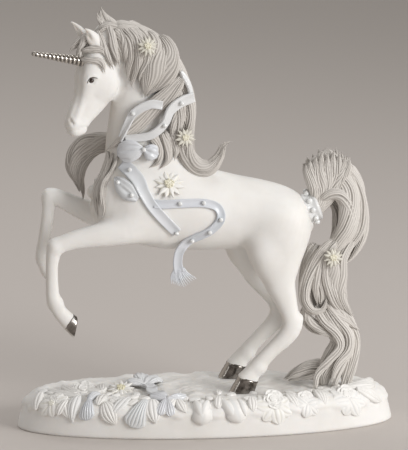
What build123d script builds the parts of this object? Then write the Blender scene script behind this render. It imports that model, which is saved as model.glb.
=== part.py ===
"""Rearing unicorn figurine in bisque porcelain on an oval plinth.

The figure is stuck up from separate castings: trunk, neck, head, legs, mane and tail locks, ribbon,
pearls and blossoms. Millimetres, +Z up, origin at the middle of the plinth's underside.
The animal faces -X, and its near side, the side that is shown, faces -Y.
"""

import math
import os

from build123d import *

# Plinth
base_length = 190.0
base_depth = 68.0
base_height = 19.0
base_shoulder = 9.0
base_wall = 4.0
base_foot_chamfer = 0.6
vent_radius = 4.0

# Relief on the plinth
leaf_half_width = 4.6
leaf_half_thickness = 1.3
leaf_drop = 4.5
shell_half_width = 5.8
shell_half_thickness = 2.2
shell_drop = 1.5
relief_ribbon_half_width = 4.0
relief_ribbon_half_thickness = 1.2
relief_blossom_radius = 6.0
relief_ribbon_lift = 0.5
relief_blossom_lift = 0.6

# Castings and the way they are stuck together
body_wall = 4.0
slip_gap = 0.1
pour_hole_radius = 5.0
trunk_vent_radius = 1.5
trunk_vent_x = 20.0
trunk_hole_depth = 30.0
leg_tenon_radius = 2.6
leg_tenon_length = 12.0
head_tenon_radius = 2.5
head_tenon_length = 8.0
dock_radius = 3.0
dock_length = 9.0
hoof_pin_radius = 1.4
hoof_pin_length = 3.5

# Horn
horn_length = 30.0
horn_root_radius = 2.6
horn_tip_radius = 0.7
horn_turns = 2.5
horn_flatness = 0.78
horn_sections = 21
horn_peg_radius = 1.3
horn_peg_length = 4.0

# Trimmings
ribbon_half_thickness = 0.9
pearl_radius = 1.1
pearl_flat_angle = 30.0
petal_count = 8
petal_half_thickness = 0.8
shoulder_blossom_radius = 7.5
small_blossom_radius = 5.2
blossom_centre_share = 0.3
petal_half_length_share = 0.4
petal_half_width_share = 0.17
petal_heart_share = 0.42
tail_ring_radius = 8.2
tail_ring_width = 5.0
tail_ring_rounding = 1.0
tail_ring_pearl_count = 12

# The head is turned towards the viewer
head_turn = 25.0
LATERAL = Vector(0, 1, 0)
HEAD_LATERAL = LATERAL.rotate(Axis.Z, head_turn)
UPWARDS = Vector(0, 0, 1)
ON_ITS_FLAT = (Align.CENTER, Align.CENTER, Align.MIN)


def at(x, y, z):
    """A point of the animal: z is its height above the top of the plinth."""
    return Vector(x, y, base_height + z)


def planes_along(points, laterals, finish=None):
    """A plane square to the run at each point, its x axis as near to the lateral as it can be."""
    planes = []
    for i, (point, lateral) in enumerate(zip(points, laterals)):
        along = points[min(i + 1, len(points) - 1)] - points[max(i - 1, 0)]
        if finish and i == len(points) - 1:
            along = finish
        along = along.normalized()
        across = (lateral - along * lateral.dot(along)).normalized()
        planes.append(Plane(origin=point, x_dir=across, z_dir=along))
    return planes


def oval_loft(planes, half_sizes):
    """A rounded form through ovals on the planes, each (half size across, half size up)."""
    with BuildPart() as form:
        for plane, (half_across, half_up) in zip(planes, half_sizes):
            with BuildSketch(plane):
                Ellipse(half_across, half_up)
        loft()
    return form.part


def strip_loft(points, facings, half_thickness, half_widths):
    """A flat ribbon with square edges along the points, its broad side turned to the facings."""
    with BuildPart() as strip:
        for plane, half_width in zip(planes_along(points, facings), half_widths):
            with BuildSketch(plane):
                Rectangle(2 * half_thickness, 2 * half_width)
        loft()
    return strip.part


def limb(stations, lateral=LATERAL, finish=None):
    """A limb or lock through stations (x, y, z, half depth, half width across)."""
    points = [at(x, y, z) for x, y, z, _, _ in stations]
    planes = planes_along(points, [lateral] * len(points), finish)
    return oval_loft(planes, [(width, depth) for _, _, _, depth, width in stations])


def shrunk(stations, wall):
    """The stations of the hollow inside a casting of that wall."""
    return [
        (x, y, z, depth - wall, width - wall)
        for x, y, z, depth, width in stations
        if min(depth, width) > 2 * wall
    ]


def rod(start, toward, radius, length):
    """A round peg of that length from start, running along toward."""
    with BuildPart() as peg:
        with BuildSketch(Plane(origin=start, z_dir=toward)):
            Circle(radius)
        extrude(amount=length)
    return peg.part


def cut(form, *tools):
    """The form with the tools cut away."""
    with BuildPart() as piece:
        add(form)
        for tool in tools:
            add(tool, mode=Mode.SUBTRACT)
    return piece.part


def joined(*forms):
    """The forms stuck into one."""
    with BuildPart() as piece:
        for form in forms:
            add(form)
    return piece.part


# What is already stuck up, as full outer shapes with their boxes, for the next piece to be cut to
masses = {}
boxes = {}
# The finished pieces
pieces = {}


def keep(name, form):
    """Keep a form as a finished piece, and as a shape that later pieces are cut to."""
    masses[name] = form
    boxes[name] = form.bounding_box()
    pieces[name] = form


def seat(name, form, group=False):
    """Cut the form to lie on the shapes that it meets. A group keeps all its solids."""
    box = form.bounding_box()
    seated = cut(form, *[masses[other] for other in masses if boxes[other].overlaps(box)])
    if not group:
        seated = Part() + seated.solids().sort_by(SortBy.VOLUME)[-1]
    keep(name, seated)


# Sockets that are cut into a casting once everything that stands on it is placed
sockets = {"trunk": [], "neck": [], "head": [], "base_plinth": []}


def pegged(form, host, start, toward, radius, length):
    """The form with a peg that goes into the host, and the host's socket noted."""
    sockets[host].append(rod(start, toward, radius + slip_gap, length + slip_gap))
    return joined(form, rod(start, toward, radius, length))


# Trunk: a blunt breast, deepest at the girth, with the croup lower than the withers
TRUNK = [
    (-56.0, 0, 101.0, 3.5, 3.0),
    (-54.8, 0, 100.8, 9.0, 7.5),
    (-51.5, 0, 100.0, 14.5, 11.5),
    (-46.0, 0, 98.5, 18.0, 15.0),
    (-36.0, 0, 96.5, 20.8, 18.0),
    (-20.0, 0, 94.0, 22.5, 19.0),
    (-4.0, 0, 91.5, 21.0, 19.0),
    (12.0, 0, 89.5, 19.0, 18.0),
    (25.0, 0, 88.5, 17.0, 18.0),
    (36.0, 0, 86.0, 16.0, 18.5),
    (44.0, 0, 83.0, 14.0, 16.5),
    (50.0, 0, 80.5, 9.5, 11.5),
    (53.0, 0, 79.5, 3.5, 4.5),
]
trunk_axis_height = 93.0
keep("trunk", limb(TRUNK))

# Neck: arched, and bent a little to the near side at the poll
NECK = [
    (-22.0, 0, 100.0, 23.0, 14.0),
    (-29.5, 0, 121.0, 20.5, 12.5),
    (-31.5, 0, 139.0, 16.5, 10.5),
    (-32.0, 0, 155.0, 13.8, 9.0),
    (-35.0, -0.7, 167.0, 12.0, 8.5),
    (-41.5, -1.8, 174.0, 10.5, 8.0),
    (-48.0, -2.8, 177.0, 8.5, 7.0),
]
neck_axis_x = -31.0
seat("neck", limb(NECK))

# Head: from the poll down to the lips
HEAD = [
    (-49.5, -2.4, 180.0, 5.5, 6.0),
    (-51.0, -2.8, 177.0, 7.5, 7.0),
    (-53.0, -3.2, 170.2, 9.0, 8.0),
    (-54.3, -3.9, 161.7, 10.7, 8.2),
    (-55.4, -4.6, 155.3, 10.5, 7.6),
    (-59.0, -6.4, 148.1, 8.3, 6.0),
    (-63.0, -8.1, 142.4, 6.8, 5.2),
    (-65.0, -9.0, 138.0, 5.9, 5.1),
    (-65.0, -9.1, 134.5, 4.0, 4.0),
    (-64.8, -9.1, 133.0, 1.8, 2.0),
]
head_form = cut(limb(HEAD, HEAD_LATERAL), masses["neck"])
head_seat = at(-50.0, -2.7, 174.5)
head_tenon_way = Vector(1, 0.1, -0.1).normalized()
keep("head", pegged(head_form, "neck", head_seat, head_tenon_way, head_tenon_radius, head_tenon_length))

# Legs: each runs from the trunk to the coronet, where its hoof begins
NEAR_FORELEG = [
    (-27.0, -11.0, 88.5, 10.5, 6.0),
    (-39.2, -13.5, 84.7, 7.5, 6.0),
    (-49.2, -14.0, 82.9, 6.5, 5.4),
    (-59.3, -14.3, 81.3, 5.4, 4.6),
    (-69.3, -14.6, 79.3, 4.4, 3.9),
    (-76.0, -14.8, 76.0, 4.0, 3.7),
    (-77.8, -14.6, 68.7, 3.1, 3.0),
    (-77.9, -14.2, 57.4, 3.1, 2.9),
    (-77.2, -14.0, 49.7, 3.5, 3.3),
    (-73.9, -13.7, 43.0, 3.6, 3.3),
    (-69.5, -13.5, 38.0, 4.2, 3.8),
]
FAR_FORELEG = [
    (-26.0, 8.0, 84.5, 8.5, 5.0),
    (-37.0, 11.0, 83.2, 7.6, 5.6),
    (-46.4, 13.0, 84.8, 6.8, 5.6),
    (-56.4, 13.0, 87.9, 6.0, 5.0),
    (-64.0, 13.0, 91.2, 5.0, 4.4),
    (-71.5, 13.0, 94.9, 4.3, 3.9),
    (-76.4, 13.0, 96.4, 4.0, 3.7),
    (-77.4, 13.0, 90.2, 3.2, 3.0),
    (-78.4, 13.0, 81.5, 3.1, 2.9),
    (-80.0, 13.0, 71.3, 3.2, 3.0),
    (-80.6, 13.0, 65.5, 3.6, 3.3),
    (-79.3, 13.0, 61.0, 3.5, 3.3),
    (-77.2, 13.0, 57.6, 4.0, 3.6),
]
NEAR_HIND_LEG = [
    (35.5, -9.5, 86.0, 13.0, 7.0),
    (35.9, -11.5, 71.5, 12.3, 8.5),
    (36.0, -13.0, 57.0, 8.4, 6.8),
    (38.2, -14.0, 49.0, 6.2, 5.2),
    (41.0, -14.6, 40.0, 4.6, 4.0),
    (42.3, -14.9, 33.5, 5.1, 4.0),
    (38.8, -15.0, 27.4, 4.4, 3.7),
    (32.0, -15.0, 20.9, 3.7, 3.3),
    (25.5, -15.0, 13.8, 3.9, 3.6),
    (22.4, -15.0, 10.0, 4.2, 3.8),
    (20.0, -15.0, 6.4, 5.2, 4.4),
]
FAR_HIND_LEG = [
    (27.0, 9.5, 86.0, 13.0, 7.0),
    (25.5, 11.5, 71.5, 12.3, 8.5),
    (27.5, 13.0, 57.0, 8.4, 6.8),
    (31.5, 14.0, 49.0, 6.2, 5.2),
    (37.5, 14.6, 40.0, 4.6, 4.0),
    (39.7, 14.9, 33.5, 5.1, 4.0),
    (36.4, 15.0, 27.4, 4.4, 3.7),
    (29.7, 15.0, 20.9, 3.7, 3.3),
    (23.2, 15.0, 13.8, 3.9, 3.6),
    (20.1, 15.0, 10.0, 4.2, 3.8),
    (17.7, 15.0, 6.4, 5.2, 4.4),
]
LEGS = {
    "near_foreleg": NEAR_FORELEG,
    "far_foreleg": FAR_FORELEG,
    "near_hind_leg": NEAR_HIND_LEG,
    "far_hind_leg": FAR_HIND_LEG,
}

# Where each leg is let into the trunk, and the way that its coronet looks
LIFTED = Vector(0.83, 0, -0.55)
STANDING = Vector(-0.3, 0, -0.95)
LEG_SEATS = {
    "near_foreleg": (LIFTED, at(-38.0, -17.0, 85.0)),
    "far_foreleg": (LIFTED, at(-38.0, 16.5, 83.0)),
    "near_hind_leg": (STANDING, at(36.0, -17.0, 77.0)),
    "far_hind_leg": (STANDING, at(26.5, 17.0, 77.0)),
}
# The centre, facing and half sizes of each sole
HOOVES = {
    "near_fore_hoof": ("near_foreleg", at(-66.2, -13.2, 35.0), Vector(0.98, 0, -0.18), (3.9, 5.5)),
    "far_fore_hoof": ("far_foreleg", at(-74.0, 13.0, 55.4), Vector(0.98, 0, -0.18), (3.8, 5.2)),
    "near_hind_hoof": ("near_hind_leg", at(17.0, -15.0, 0), Vector(0, 0, -1), (5.0, 6.6)),
    "far_hind_hoof": ("far_hind_leg", at(14.7, 15.0, 0), Vector(0, 0, -1), (5.0, 6.6)),
}

for leg, (coronet_facing, root) in LEG_SEATS.items():
    inward = Vector(0, -math.copysign(1, root.Y), 0)
    leg_form = cut(limb(LEGS[leg], finish=coronet_facing), masses["trunk"])
    keep(leg, pegged(leg_form, "trunk", root, inward, leg_tenon_radius, leg_tenon_length))

for hoof, (leg, sole, sole_facing, sole_half_sizes) in HOOVES.items():
    coronet_facing, _ = LEG_SEATS[leg]
    x, y, z, coronet_depth, coronet_width = LEGS[leg][-1]
    coronet = at(x, y, z)
    top_plane, _ = planes_along([coronet, coronet + coronet_facing], [LATERAL] * 2)
    _, sole_plane = planes_along([sole - sole_facing, sole], [LATERAL] * 2)
    form = oval_loft([top_plane, sole_plane], [(coronet_width, coronet_depth), sole_half_sizes])
    if coronet_facing is STANDING:
        form = pegged(form, "base_plinth", sole - sole_facing, sole_facing, hoof_pin_radius, hoof_pin_length)
    keep(hoof, form)

# Plinth: a hollow oval casting with a rounded shoulder, vented underneath
with BuildPart() as plinth:
    with BuildSketch():
        Ellipse(base_length / 2, base_depth / 2)
    extrude(amount=base_height)
    fillet(plinth.edges().group_by(Axis.Z)[-1], base_shoulder)
    chamfer(plinth.edges().group_by(Axis.Z)[0], base_foot_chamfer)
with BuildPart() as plinth_hollow:
    with BuildSketch(Plane.XY.offset(base_wall)):
        Ellipse(base_length / 2 - base_wall, base_depth / 2 - base_wall)
    extrude(amount=base_height - 2 * base_wall)
    fillet(plinth_hollow.edges().group_by(Axis.Z)[-1], base_shoulder - base_wall)
keep("base_plinth", plinth.part)


def rim(angle, inset):
    """A point of the plinth's skin at a plan angle, that far in from the edge."""
    x = (base_length / 2 - inset) * math.cos(math.radians(angle))
    y = (base_depth / 2 - inset) * math.sin(math.radians(angle))
    if inset >= base_shoulder:
        return at(x, y, 0)
    rise = math.sqrt(base_shoulder**2 - (base_shoulder - inset) ** 2)
    return at(x, y, rise - base_shoulder)


def over_the_rim(angle, insets, drop, half_widths, half_thickness):
    """A form that lies across the shoulder of the plinth and hangs that far below its edge."""
    points = [rim(angle, inset) for inset in insets]
    points.append(rim(angle, 0) - UPWARDS * drop)
    tangent = rim(angle + 1, 0) - rim(angle - 1, 0)
    planes = planes_along(points, [tangent] * len(points))
    return oval_loft(planes, [(half_width, half_thickness) for half_width in half_widths])


leaf_insets = (12.0, 8.0, 4.0, 1.2)
leaf_shares = (0.35, 0.8, 1.0, 0.9, 0.2)
shell_insets = (11.0, 8.0, 4.0, 1.0)
shell_shares = (0.5, 0.9, 1.0, 0.9, 0.5)
leaf_angles = (-141.0, -125.0, -114.5, -106.0, -36.0, -24.0)
shell_angles = (-93.0, -81.5, -57.0, -46.0)
leaf_widths = [leaf_half_width * share for share in leaf_shares]
shell_widths = [shell_half_width * share for share in shell_shares]
leaves = [over_the_rim(a, leaf_insets, leaf_drop, leaf_widths, leaf_half_thickness) for a in leaf_angles]
shells = [over_the_rim(a, shell_insets, shell_drop, shell_widths, shell_half_thickness) for a in shell_angles]
seat("base_leaves", joined(*leaves), group=True)
seat("base_shells", joined(*shells), group=True)

# Ears and horn
NEAR_EAR = [
    (-53.5, -7.0, 175.5, 2.6, 2.2),
    (-55.5, -8.2, 179.0, 2.7, 2.3),
    (-58.0, -9.6, 182.5, 2.1, 1.7),
    (-60.7, -11.0, 186.0, 0.5, 0.5),
]
FAR_EAR = [
    (-57.0, -1.5, 175.0, 2.6, 2.2),
    (-59.8, -0.6, 179.5, 2.7, 2.3),
    (-63.0, 0.2, 183.5, 2.1, 1.7),
    (-66.6, 1.0, 187.3, 0.5, 0.5),
]
seat("near_ear", limb(NEAR_EAR, HEAD_LATERAL))
seat("far_ear", limb(FAR_EAR, HEAD_LATERAL))

horn_root = at(-60.5, -6.7, 168.4)
horn_direction = Vector(-26.0, -12.1, 6.8).normalized()
horn_across = horn_direction.cross(LATERAL).normalized()
horn_planes = []
horn_sizes = []
for i in range(horn_sections):
    share = i / (horn_sections - 1)
    middle = horn_root + horn_direction * (horn_length * share)
    turned = horn_across.rotate(Axis((0, 0, 0), horn_direction), 360 * horn_turns * share)
    horn_planes.append(Plane(origin=middle, x_dir=turned, z_dir=horn_direction))
    radius = horn_root_radius + (horn_tip_radius - horn_root_radius) * share
    horn_sizes.append((radius, radius * horn_flatness))
horn_form = cut(oval_loft(horn_planes, horn_sizes), masses["head"])
horn_seat = horn_root + horn_direction * horn_root_radius
keep("horn", pegged(horn_form, "head", horn_seat, -horn_direction, horn_peg_radius, horn_peg_length))

# Mane: the crest first, then the locks that lie on it, from the lowest layer up
CREST = [
    (-49.5, -2.8, 182.5, 4.5, 6.5),
    (-41.0, -2.5, 182.5, 5.5, 8.0),
    (-30.5, -2.5, 177.5, 6.5, 9.5),
    (-21.5, -2.5, 168.0, 7.0, 10.0),
    (-16.0, -2.0, 155.0, 8.0, 10.0),
    (-12.5, -2.0, 140.0, 8.5, 10.0),
    (-9.0, -1.5, 125.0, 8.0, 9.0),
    (-4.0, -1.0, 115.0, 6.0, 7.0),
]
POLL_FLICK = [
    (-45.5, -3.5, 183.0, 4.6, 4.2),
    (-49.5, -3.8, 187.5, 3.6, 3.2),
    (-51.6, -4.0, 191.5, 2.2, 2.0),
    (-52.4, -4.2, 195.8, 0.5, 0.5),
]
FORELOCK = [
    (-50.0, -4.0, 184.0, 2.6, 3.2),
    (-56.0, -5.6, 181.0, 2.2, 3.0),
    (-60.3, -6.9, 175.8, 1.8, 2.6),
    (-62.2, -7.5, 171.8, 0.8, 1.4),
]
CHEEK_LOCK = [
    (-50.8, -8.2, 181.0, 2.8, 2.2),
    (-48.8, -9.4, 176.0, 3.0, 2.2),
    (-46.8, -9.0, 169.7, 2.2, 1.9),
    (-45.3, -8.0, 164.0, 0.6, 0.6),
]
THROAT_LOCK = [
    (-46.3, -7.5, 184.0, 3.0, 2.4),
    (-42.8, -10.2, 178.4, 3.2, 2.4),
    (-41.3, -10.2, 172.7, 2.4, 2.0),
    (-41.8, -9.2, 167.0, 0.6, 0.6),
]
HOOKED_LOCK = [
    (-42.5, -5.5, 185.5, 3.0, 2.4),
    (-38.4, -10.8, 180.0, 3.2, 2.5),
    (-37.6, -11.0, 171.7, 2.6, 2.2),
    (-38.9, -9.8, 163.0, 2.0, 1.8),
    (-37.4, -9.0, 156.8, 0.7, 0.7),
]
ARCHED_LOCK = [
    (-38.0, -5.0, 185.5, 3.0, 2.4),
    (-32.4, -11.8, 180.5, 3.5, 2.6),
    (-31.9, -12.3, 173.3, 3.5, 2.5),
    (-34.4, -10.6, 165.7, 2.8, 2.1),
    (-35.4, -9.6, 160.6, 0.8, 0.8),
]
BROAD_LOCK = [
    (-23.5, -6.0, 180.0, 4.0, 2.6),
    (-20.5, -11.8, 173.0, 6.5, 2.8),
    (-23.0, -12.8, 164.5, 8.5, 2.8),
    (-28.0, -11.4, 156.5, 6.0, 2.4),
    (-30.8, -10.2, 150.0, 1.2, 1.0),
]
SHOULDER_LOCK = [
    (-12.0, -11.5, 160.3, 3.0, 2.4),
    (-19.0, -12.2, 152.2, 4.5, 2.7),
    (-28.0, -11.4, 144.2, 4.5, 2.5),
    (-36.5, -11.0, 135.0, 4.0, 2.3),
    (-45.0, -8.4, 127.2, 3.0, 2.0),
    (-51.0, -4.5, 122.0, 1.0, 1.0),
]
REAR_LOCK = [
    (-14.2, -8.0, 162.2, 3.0, 2.6),
    (-11.0, -8.8, 155.5, 3.5, 3.0),
    (-9.0, -9.0, 145.7, 4.0, 3.2),
    (-9.2, -9.0, 135.5, 4.0, 3.2),
    (-11.4, -9.0, 127.8, 3.0, 2.6),
]
WITHER_LOCK = [
    (-11.0, -9.5, 129.5, 4.0, 3.4),
    (-9.8, -9.5, 121.8, 4.8, 4.0),
    (-5.0, -9.5, 115.0, 5.0, 4.2),
    (1.2, -9.3, 114.2, 4.2, 3.8),
    (6.0, -9.0, 119.2, 3.0, 2.8),
    (8.6, -9.0, 125.0, 2.1, 2.0),
    (13.1, -9.0, 127.0, 0.7, 0.7),
]
UNDER_BOW_LOCK = [
    (-27.5, -12.2, 131.6, 3.0, 2.2),
    (-24.5, -12.6, 125.0, 3.2, 2.2),
    (-25.0, -13.2, 119.0, 2.5, 2.0),
    (-29.6, -13.4, 115.6, 0.7, 0.7),
]
FAR_MANE_LOCK = [
    (-45.4, 8.5, 125.4, 5.0, 3.2),
    (-53.9, 11.0, 124.0, 6.0, 3.4),
    (-61.0, 12.0, 119.6, 6.2, 3.4),
    (-64.0, 12.0, 112.0, 5.5, 3.2),
    (-61.5, 11.5, 104.2, 3.5, 2.6),
    (-59.4, 11.0, 98.4, 1.5, 1.5),
]
FAR_ARCHED_LOCK = [
    (-38.0, 0.0, 185.5, 3.0, 2.4),
    (-32.4, 6.8, 180.5, 3.5, 2.6),
    (-31.9, 8.0, 173.3, 3.5, 2.5),
    (-34.4, 8.6, 165.7, 2.8, 2.1),
    (-35.4, 9.0, 160.6, 0.8, 0.8),
]
FAR_BROAD_LOCK = [
    (-25.5, 1.0, 178.0, 4.0, 2.6),
    (-22.5, 7.4, 170.5, 5.0, 2.8),
    (-24.0, 8.6, 162.0, 6.0, 2.6),
    (-27.5, 9.8, 155.5, 5.0, 2.2),
    (-30.5, 10.0, 149.9, 1.2, 1.0),
]
FAR_SHOULDER_LOCK = [
    (-15.5, 7.5, 159.0, 3.0, 2.4),
    (-20.0, 8.8, 152.2, 4.5, 2.7),
    (-28.0, 10.4, 144.2, 4.5, 2.5),
    (-36.5, 11.0, 135.0, 4.0, 2.3),
    (-42.0, 10.0, 128.5, 2.0, 1.6),
]
MANE = {
    "crest_mane": CREST,
    "poll_flick": POLL_FLICK,
    "arched_lock": ARCHED_LOCK,
    "hooked_lock": HOOKED_LOCK,
    "throat_lock": THROAT_LOCK,
    "cheek_lock": CHEEK_LOCK,
    "broad_lock": BROAD_LOCK,
    "rear_lock": REAR_LOCK,
    "shoulder_lock": SHOULDER_LOCK,
    "wither_lock": WITHER_LOCK,
    "under_bow_lock": UNDER_BOW_LOCK,
    "far_mane_lock": FAR_MANE_LOCK,
    "far_arched_lock": FAR_ARCHED_LOCK,
    "far_broad_lock": FAR_BROAD_LOCK,
    "far_shoulder_lock": FAR_SHOULDER_LOCK,
}
for name, stations in MANE.items():
    seat(name, limb(stations))
seat("forelock", limb(FORELOCK, HEAD_LATERAL))

# Tail: a spray that stands up from the dock, folds over and falls in locks to the plinth
TAIL_SPRAY = [
    (48.0, 0.0, 88.5, 5.5, 5.5),
    (53.5, 0.0, 90.8, 6.0, 6.0),
    (58.0, 0.0, 95.0, 6.5, 6.0),
    (61.0, 0.0, 103.0, 9.5, 7.0),
    (62.3, 0.0, 111.0, 11.0, 7.0),
    (63.0, 0.0, 117.0, 10.0, 6.0),
    (63.5, 0.0, 120.0, 6.0, 4.0),
]
TAIL_FOLD = [
    (67.5, 0.0, 111.5, 6.5, 5.0),
    (72.5, -1.0, 101.0, 8.0, 6.5),
    (73.0, -2.0, 90.0, 8.5, 7.0),
    (70.5, -3.0, 80.0, 8.5, 7.0),
    (64.5, -3.5, 71.0, 7.5, 6.5),
    (61.0, -4.0, 61.5, 7.0, 6.0),
]
TAIL_OUTER_LOBE = [
    (71.0, 3.0, 107.0, 4.0, 3.5),
    (76.0, 3.5, 95.0, 5.0, 4.5),
    (77.0, 4.0, 83.0, 5.8, 5.0),
    (74.5, 3.5, 72.5, 5.5, 4.8),
    (68.0, 3.0, 63.0, 4.0, 3.8),
    (61.5, 3.0, 53.0, 3.6, 3.2),
    (58.5, 3.0, 42.0, 4.0, 3.2),
    (57.5, 2.5, 32.0, 3.8, 3.0),
    (61.0, 2.0, 24.0, 2.2, 2.0),
]
TAIL_MIDDLE = [
    (62.0, -4.0, 69.0, 7.0, 5.5),
    (64.5, -5.0, 60.0, 8.0, 6.0),
    (65.5, -5.0, 50.0, 7.5, 6.0),
    (68.5, -4.0, 40.0, 6.0, 5.0),
    (73.0, -3.0, 32.5, 2.5, 2.2),
]
TAIL_CURL = [
    (56.0, -2.0, 72.0, 4.0, 4.0),
    (53.0, -3.0, 62.0, 5.5, 5.0),
    (51.0, -3.5, 50.0, 6.0, 5.0),
    (52.5, -4.0, 42.0, 5.0, 4.0),
    (57.0, -4.5, 38.0, 3.0, 2.6),
    (60.0, -4.5, 42.0, 1.2, 1.2),
]
TAIL_KNOT = [
    (55.0, -1.0, 42.0, 4.0, 3.6),
    (51.0, -1.0, 35.0, 4.0, 3.6),
    (54.0, -1.0, 29.0, 3.2, 3.0),
    (62.0, -1.0, 25.0, 3.0, 2.6),
]
TAIL_FALL = [
    (61.0, -2.0, 42.0, 7.0, 6.0),
    (66.0, -3.0, 32.0, 8.0, 7.5),
    (70.0, -3.0, 22.0, 7.5, 7.5),
    (66.5, -3.0, 12.5, 8.5, 8.5),
    (63.2, -3.0, 5.0, 9.0, 9.5),
    (63.5, -3.0, -3.0, 9.0, 10.0),
]
TAIL_GROUND_CURL = [
    (60.0, 0.0, 9.0, 4.5, 4.0),
    (52.0, 0.5, 8.0, 4.0, 4.0),
    (45.0, 1.0, 4.6, 3.0, 3.0),
    (40.0, 1.0, 1.4, 1.2, 1.2),
]
TAIL = {
    "tail_fold": TAIL_FOLD,
    "tail_outer_lobe": TAIL_OUTER_LOBE,
    "tail_middle": TAIL_MIDDLE,
    "tail_fall": TAIL_FALL,
    "tail_curl": TAIL_CURL,
    "tail_knot": TAIL_KNOT,
    "tail_ground_curl": TAIL_GROUND_CURL,
}
dock = at(54.0, 0, 91.0)
dock_direction = Vector(0.934, 0, 0.357)
spray_form = cut(limb(TAIL_SPRAY), masses["trunk"])
keep("tail_spray", pegged(spray_form, "trunk", dock, -dock_direction, dock_radius, dock_length))
for name, stations in TAIL.items():
    seat(name, limb(stations))

# Ring round the root of the tail, with its pearls
ring_centre = at(52.5, 0, 90.3)
ring_face = Plane(origin=ring_centre, x_dir=LATERAL, z_dir=dock_direction)
with BuildPart() as ring:
    with BuildSketch(ring_face.offset(-tail_ring_width / 2)):
        Circle(tail_ring_radius)
    extrude(amount=tail_ring_width)
    fillet(ring.edges(), tail_ring_rounding)
seat("tail_ring", ring.part)


def flat_backed_pearls(seats):
    """Pearls with a flat back, one on each plane, a film of slip above it."""
    with BuildPart() as pearls:
        with Locations(*[plane.offset(slip_gap) for plane in seats]):
            Sphere(pearl_radius, arc_size1=-pearl_flat_angle, align=ON_ITS_FLAT)
    return pearls.part


ring_pearl_seats = []
for i in range(tail_ring_pearl_count):
    spoke = LATERAL.rotate(Axis((0, 0, 0), dock_direction), 360 * i / tail_ring_pearl_count)
    ring_pearl_seats.append(Plane(origin=ring_centre + spoke * tail_ring_radius, z_dir=spoke))
keep("tail_ring_pearls", flat_backed_pearls(ring_pearl_seats))

# Ribbon: flat lengths that lie on the mane and the trunk, stations (x, y, z, half width)


def from_trunk(point):
    """Outwards from the trunk's axis."""
    return point - at(point.X, 0, trunk_axis_height)


def from_neck(point):
    """Outwards from the neck's axis."""
    return point - Vector(neck_axis_x, 0, point.Z)


def to_the_viewer(point):
    """Towards the near side, for a length that hangs free."""
    return Vector(0, -1, 0)


RIBBON_UPPER = [
    (-6.8, -12.2, 150.7, 1.8),
    (-13.5, -13.6, 148.4, 1.9),
    (-18.6, -14.6, 144.5, 2.0),
    (-22.0, -14.4, 137.5, 2.0),
    (-29.1, -14.0, 131.9, 2.0),
    (-41.0, -11.8, 130.3, 2.0),
]
RIBBON_WRAP = [
    (-22.5, -13.8, 147.0, 1.6),
    (-29.1, -13.8, 148.1, 1.8),
    (-36.8, -12.8, 143.4, 1.9),
    (-40.6, -12.2, 136.0, 1.9),
    (-43.4, -10.4, 129.0, 1.8),
]
RIBBON_BOW_UPPER = [
    (-33.4, -14.4, 125.0, 2.4),
    (-37.0, -13.8, 124.4, 4.0),
    (-41.0, -12.4, 123.6, 4.4),
    (-44.0, -10.6, 122.2, 3.2),
]
RIBBON_BOW_LOWER = [
    (-32.6, -14.8, 125.2, 2.2),
    (-30.0, -15.2, 124.2, 4.4),
    (-27.6, -15.4, 123.2, 4.2),
    (-25.6, -15.2, 122.0, 2.2),
]
RIBBON_BAND = [
    (-42.6, -10.4, 117.6, 3.2),
    (-38.6, -13.4, 114.0, 3.4),
    (-34.8, -16.4, 109.6, 3.4),
    (-32.4, -18.0, 104.2, 3.0),
    (-28.4, -19.2, 97.4, 2.8),
    (-22.8, -19.4, 90.8, 2.8),
    (-16.0, -17.6, 83.6, 2.6),
]
RIBBON_LOOP = [
    (-45.4, -12.0, 110.2, 1.8),
    (-43.6, -13.8, 108.2, 3.6),
    (-40.8, -16.0, 105.2, 4.4),
    (-38.0, -17.4, 102.8, 3.4),
    (-35.6, -18.4, 100.8, 2.2),
]
RIBBON_STREAMER = [
    (-30.0, -19.0, 99.4, 2.2),
    (-24.4, -19.3, 98.2, 2.2),
    (-14.5, -19.2, 98.3, 2.2),
    (-2.6, -19.0, 98.2, 2.2),
    (4.4, -18.6, 95.6, 2.2),
    (5.8, -18.9, 89.8, 2.2),
    (0.4, -18.2, 83.6, 2.2),
    (-8.2, -16.4, 79.0, 2.2),
    (-13.8, -15.0, 73.8, 2.3),
    (-15.2, -14.5, 67.4, 2.4),
    (-14.4, -14.3, 62.2, 2.6),
]
RIBBON_TASSEL = [
    (-14.9, -14.3, 64.0, 2.8),
    (-13.8, -14.3, 61.0, 3.6),
    (-12.4, -14.3, 57.8, 4.8),
    (-11.8, -14.3, 56.2, 5.0),
]
# The way that each length faces, and the stations that carry a pearl
RIBBONS = {
    "ribbon_upper": (RIBBON_UPPER, from_neck, (1, 3)),
    "ribbon_wrap": (RIBBON_WRAP, from_neck, (2,)),
    "ribbon_bow_upper": (RIBBON_BOW_UPPER, from_neck, ()),
    "ribbon_bow_lower": (RIBBON_BOW_LOWER, from_neck, (0,)),
    "ribbon_band": (RIBBON_BAND, from_trunk, (1, 6)),
    "ribbon_loop": (RIBBON_LOOP, from_trunk, (1, 3)),
    "ribbon_streamer": (RIBBON_STREAMER, from_trunk, (2, 3, 5, 6, 7)),
    "ribbon_tassel": (RIBBON_TASSEL, to_the_viewer, ()),
}
pearl_seats = []
for name, (stations, outward, pearl_stations) in RIBBONS.items():
    points = [at(x, y, z) for x, y, z, _ in stations]
    facings = [outward(point).normalized() for point in points]
    half_widths = [half_width for _, _, _, half_width in stations]
    seat(name, strip_loft(points, facings, ribbon_half_thickness, half_widths))
    for i in pearl_stations:
        outer = planes_along(points, facings)[i].x_dir
        pearl_seats.append(Plane(origin=points[i] + outer * ribbon_half_thickness, z_dir=outer))
keep("ribbon_pearls", flat_backed_pearls(pearl_seats))

# Blossoms: a star of petals round a domed centre


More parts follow.
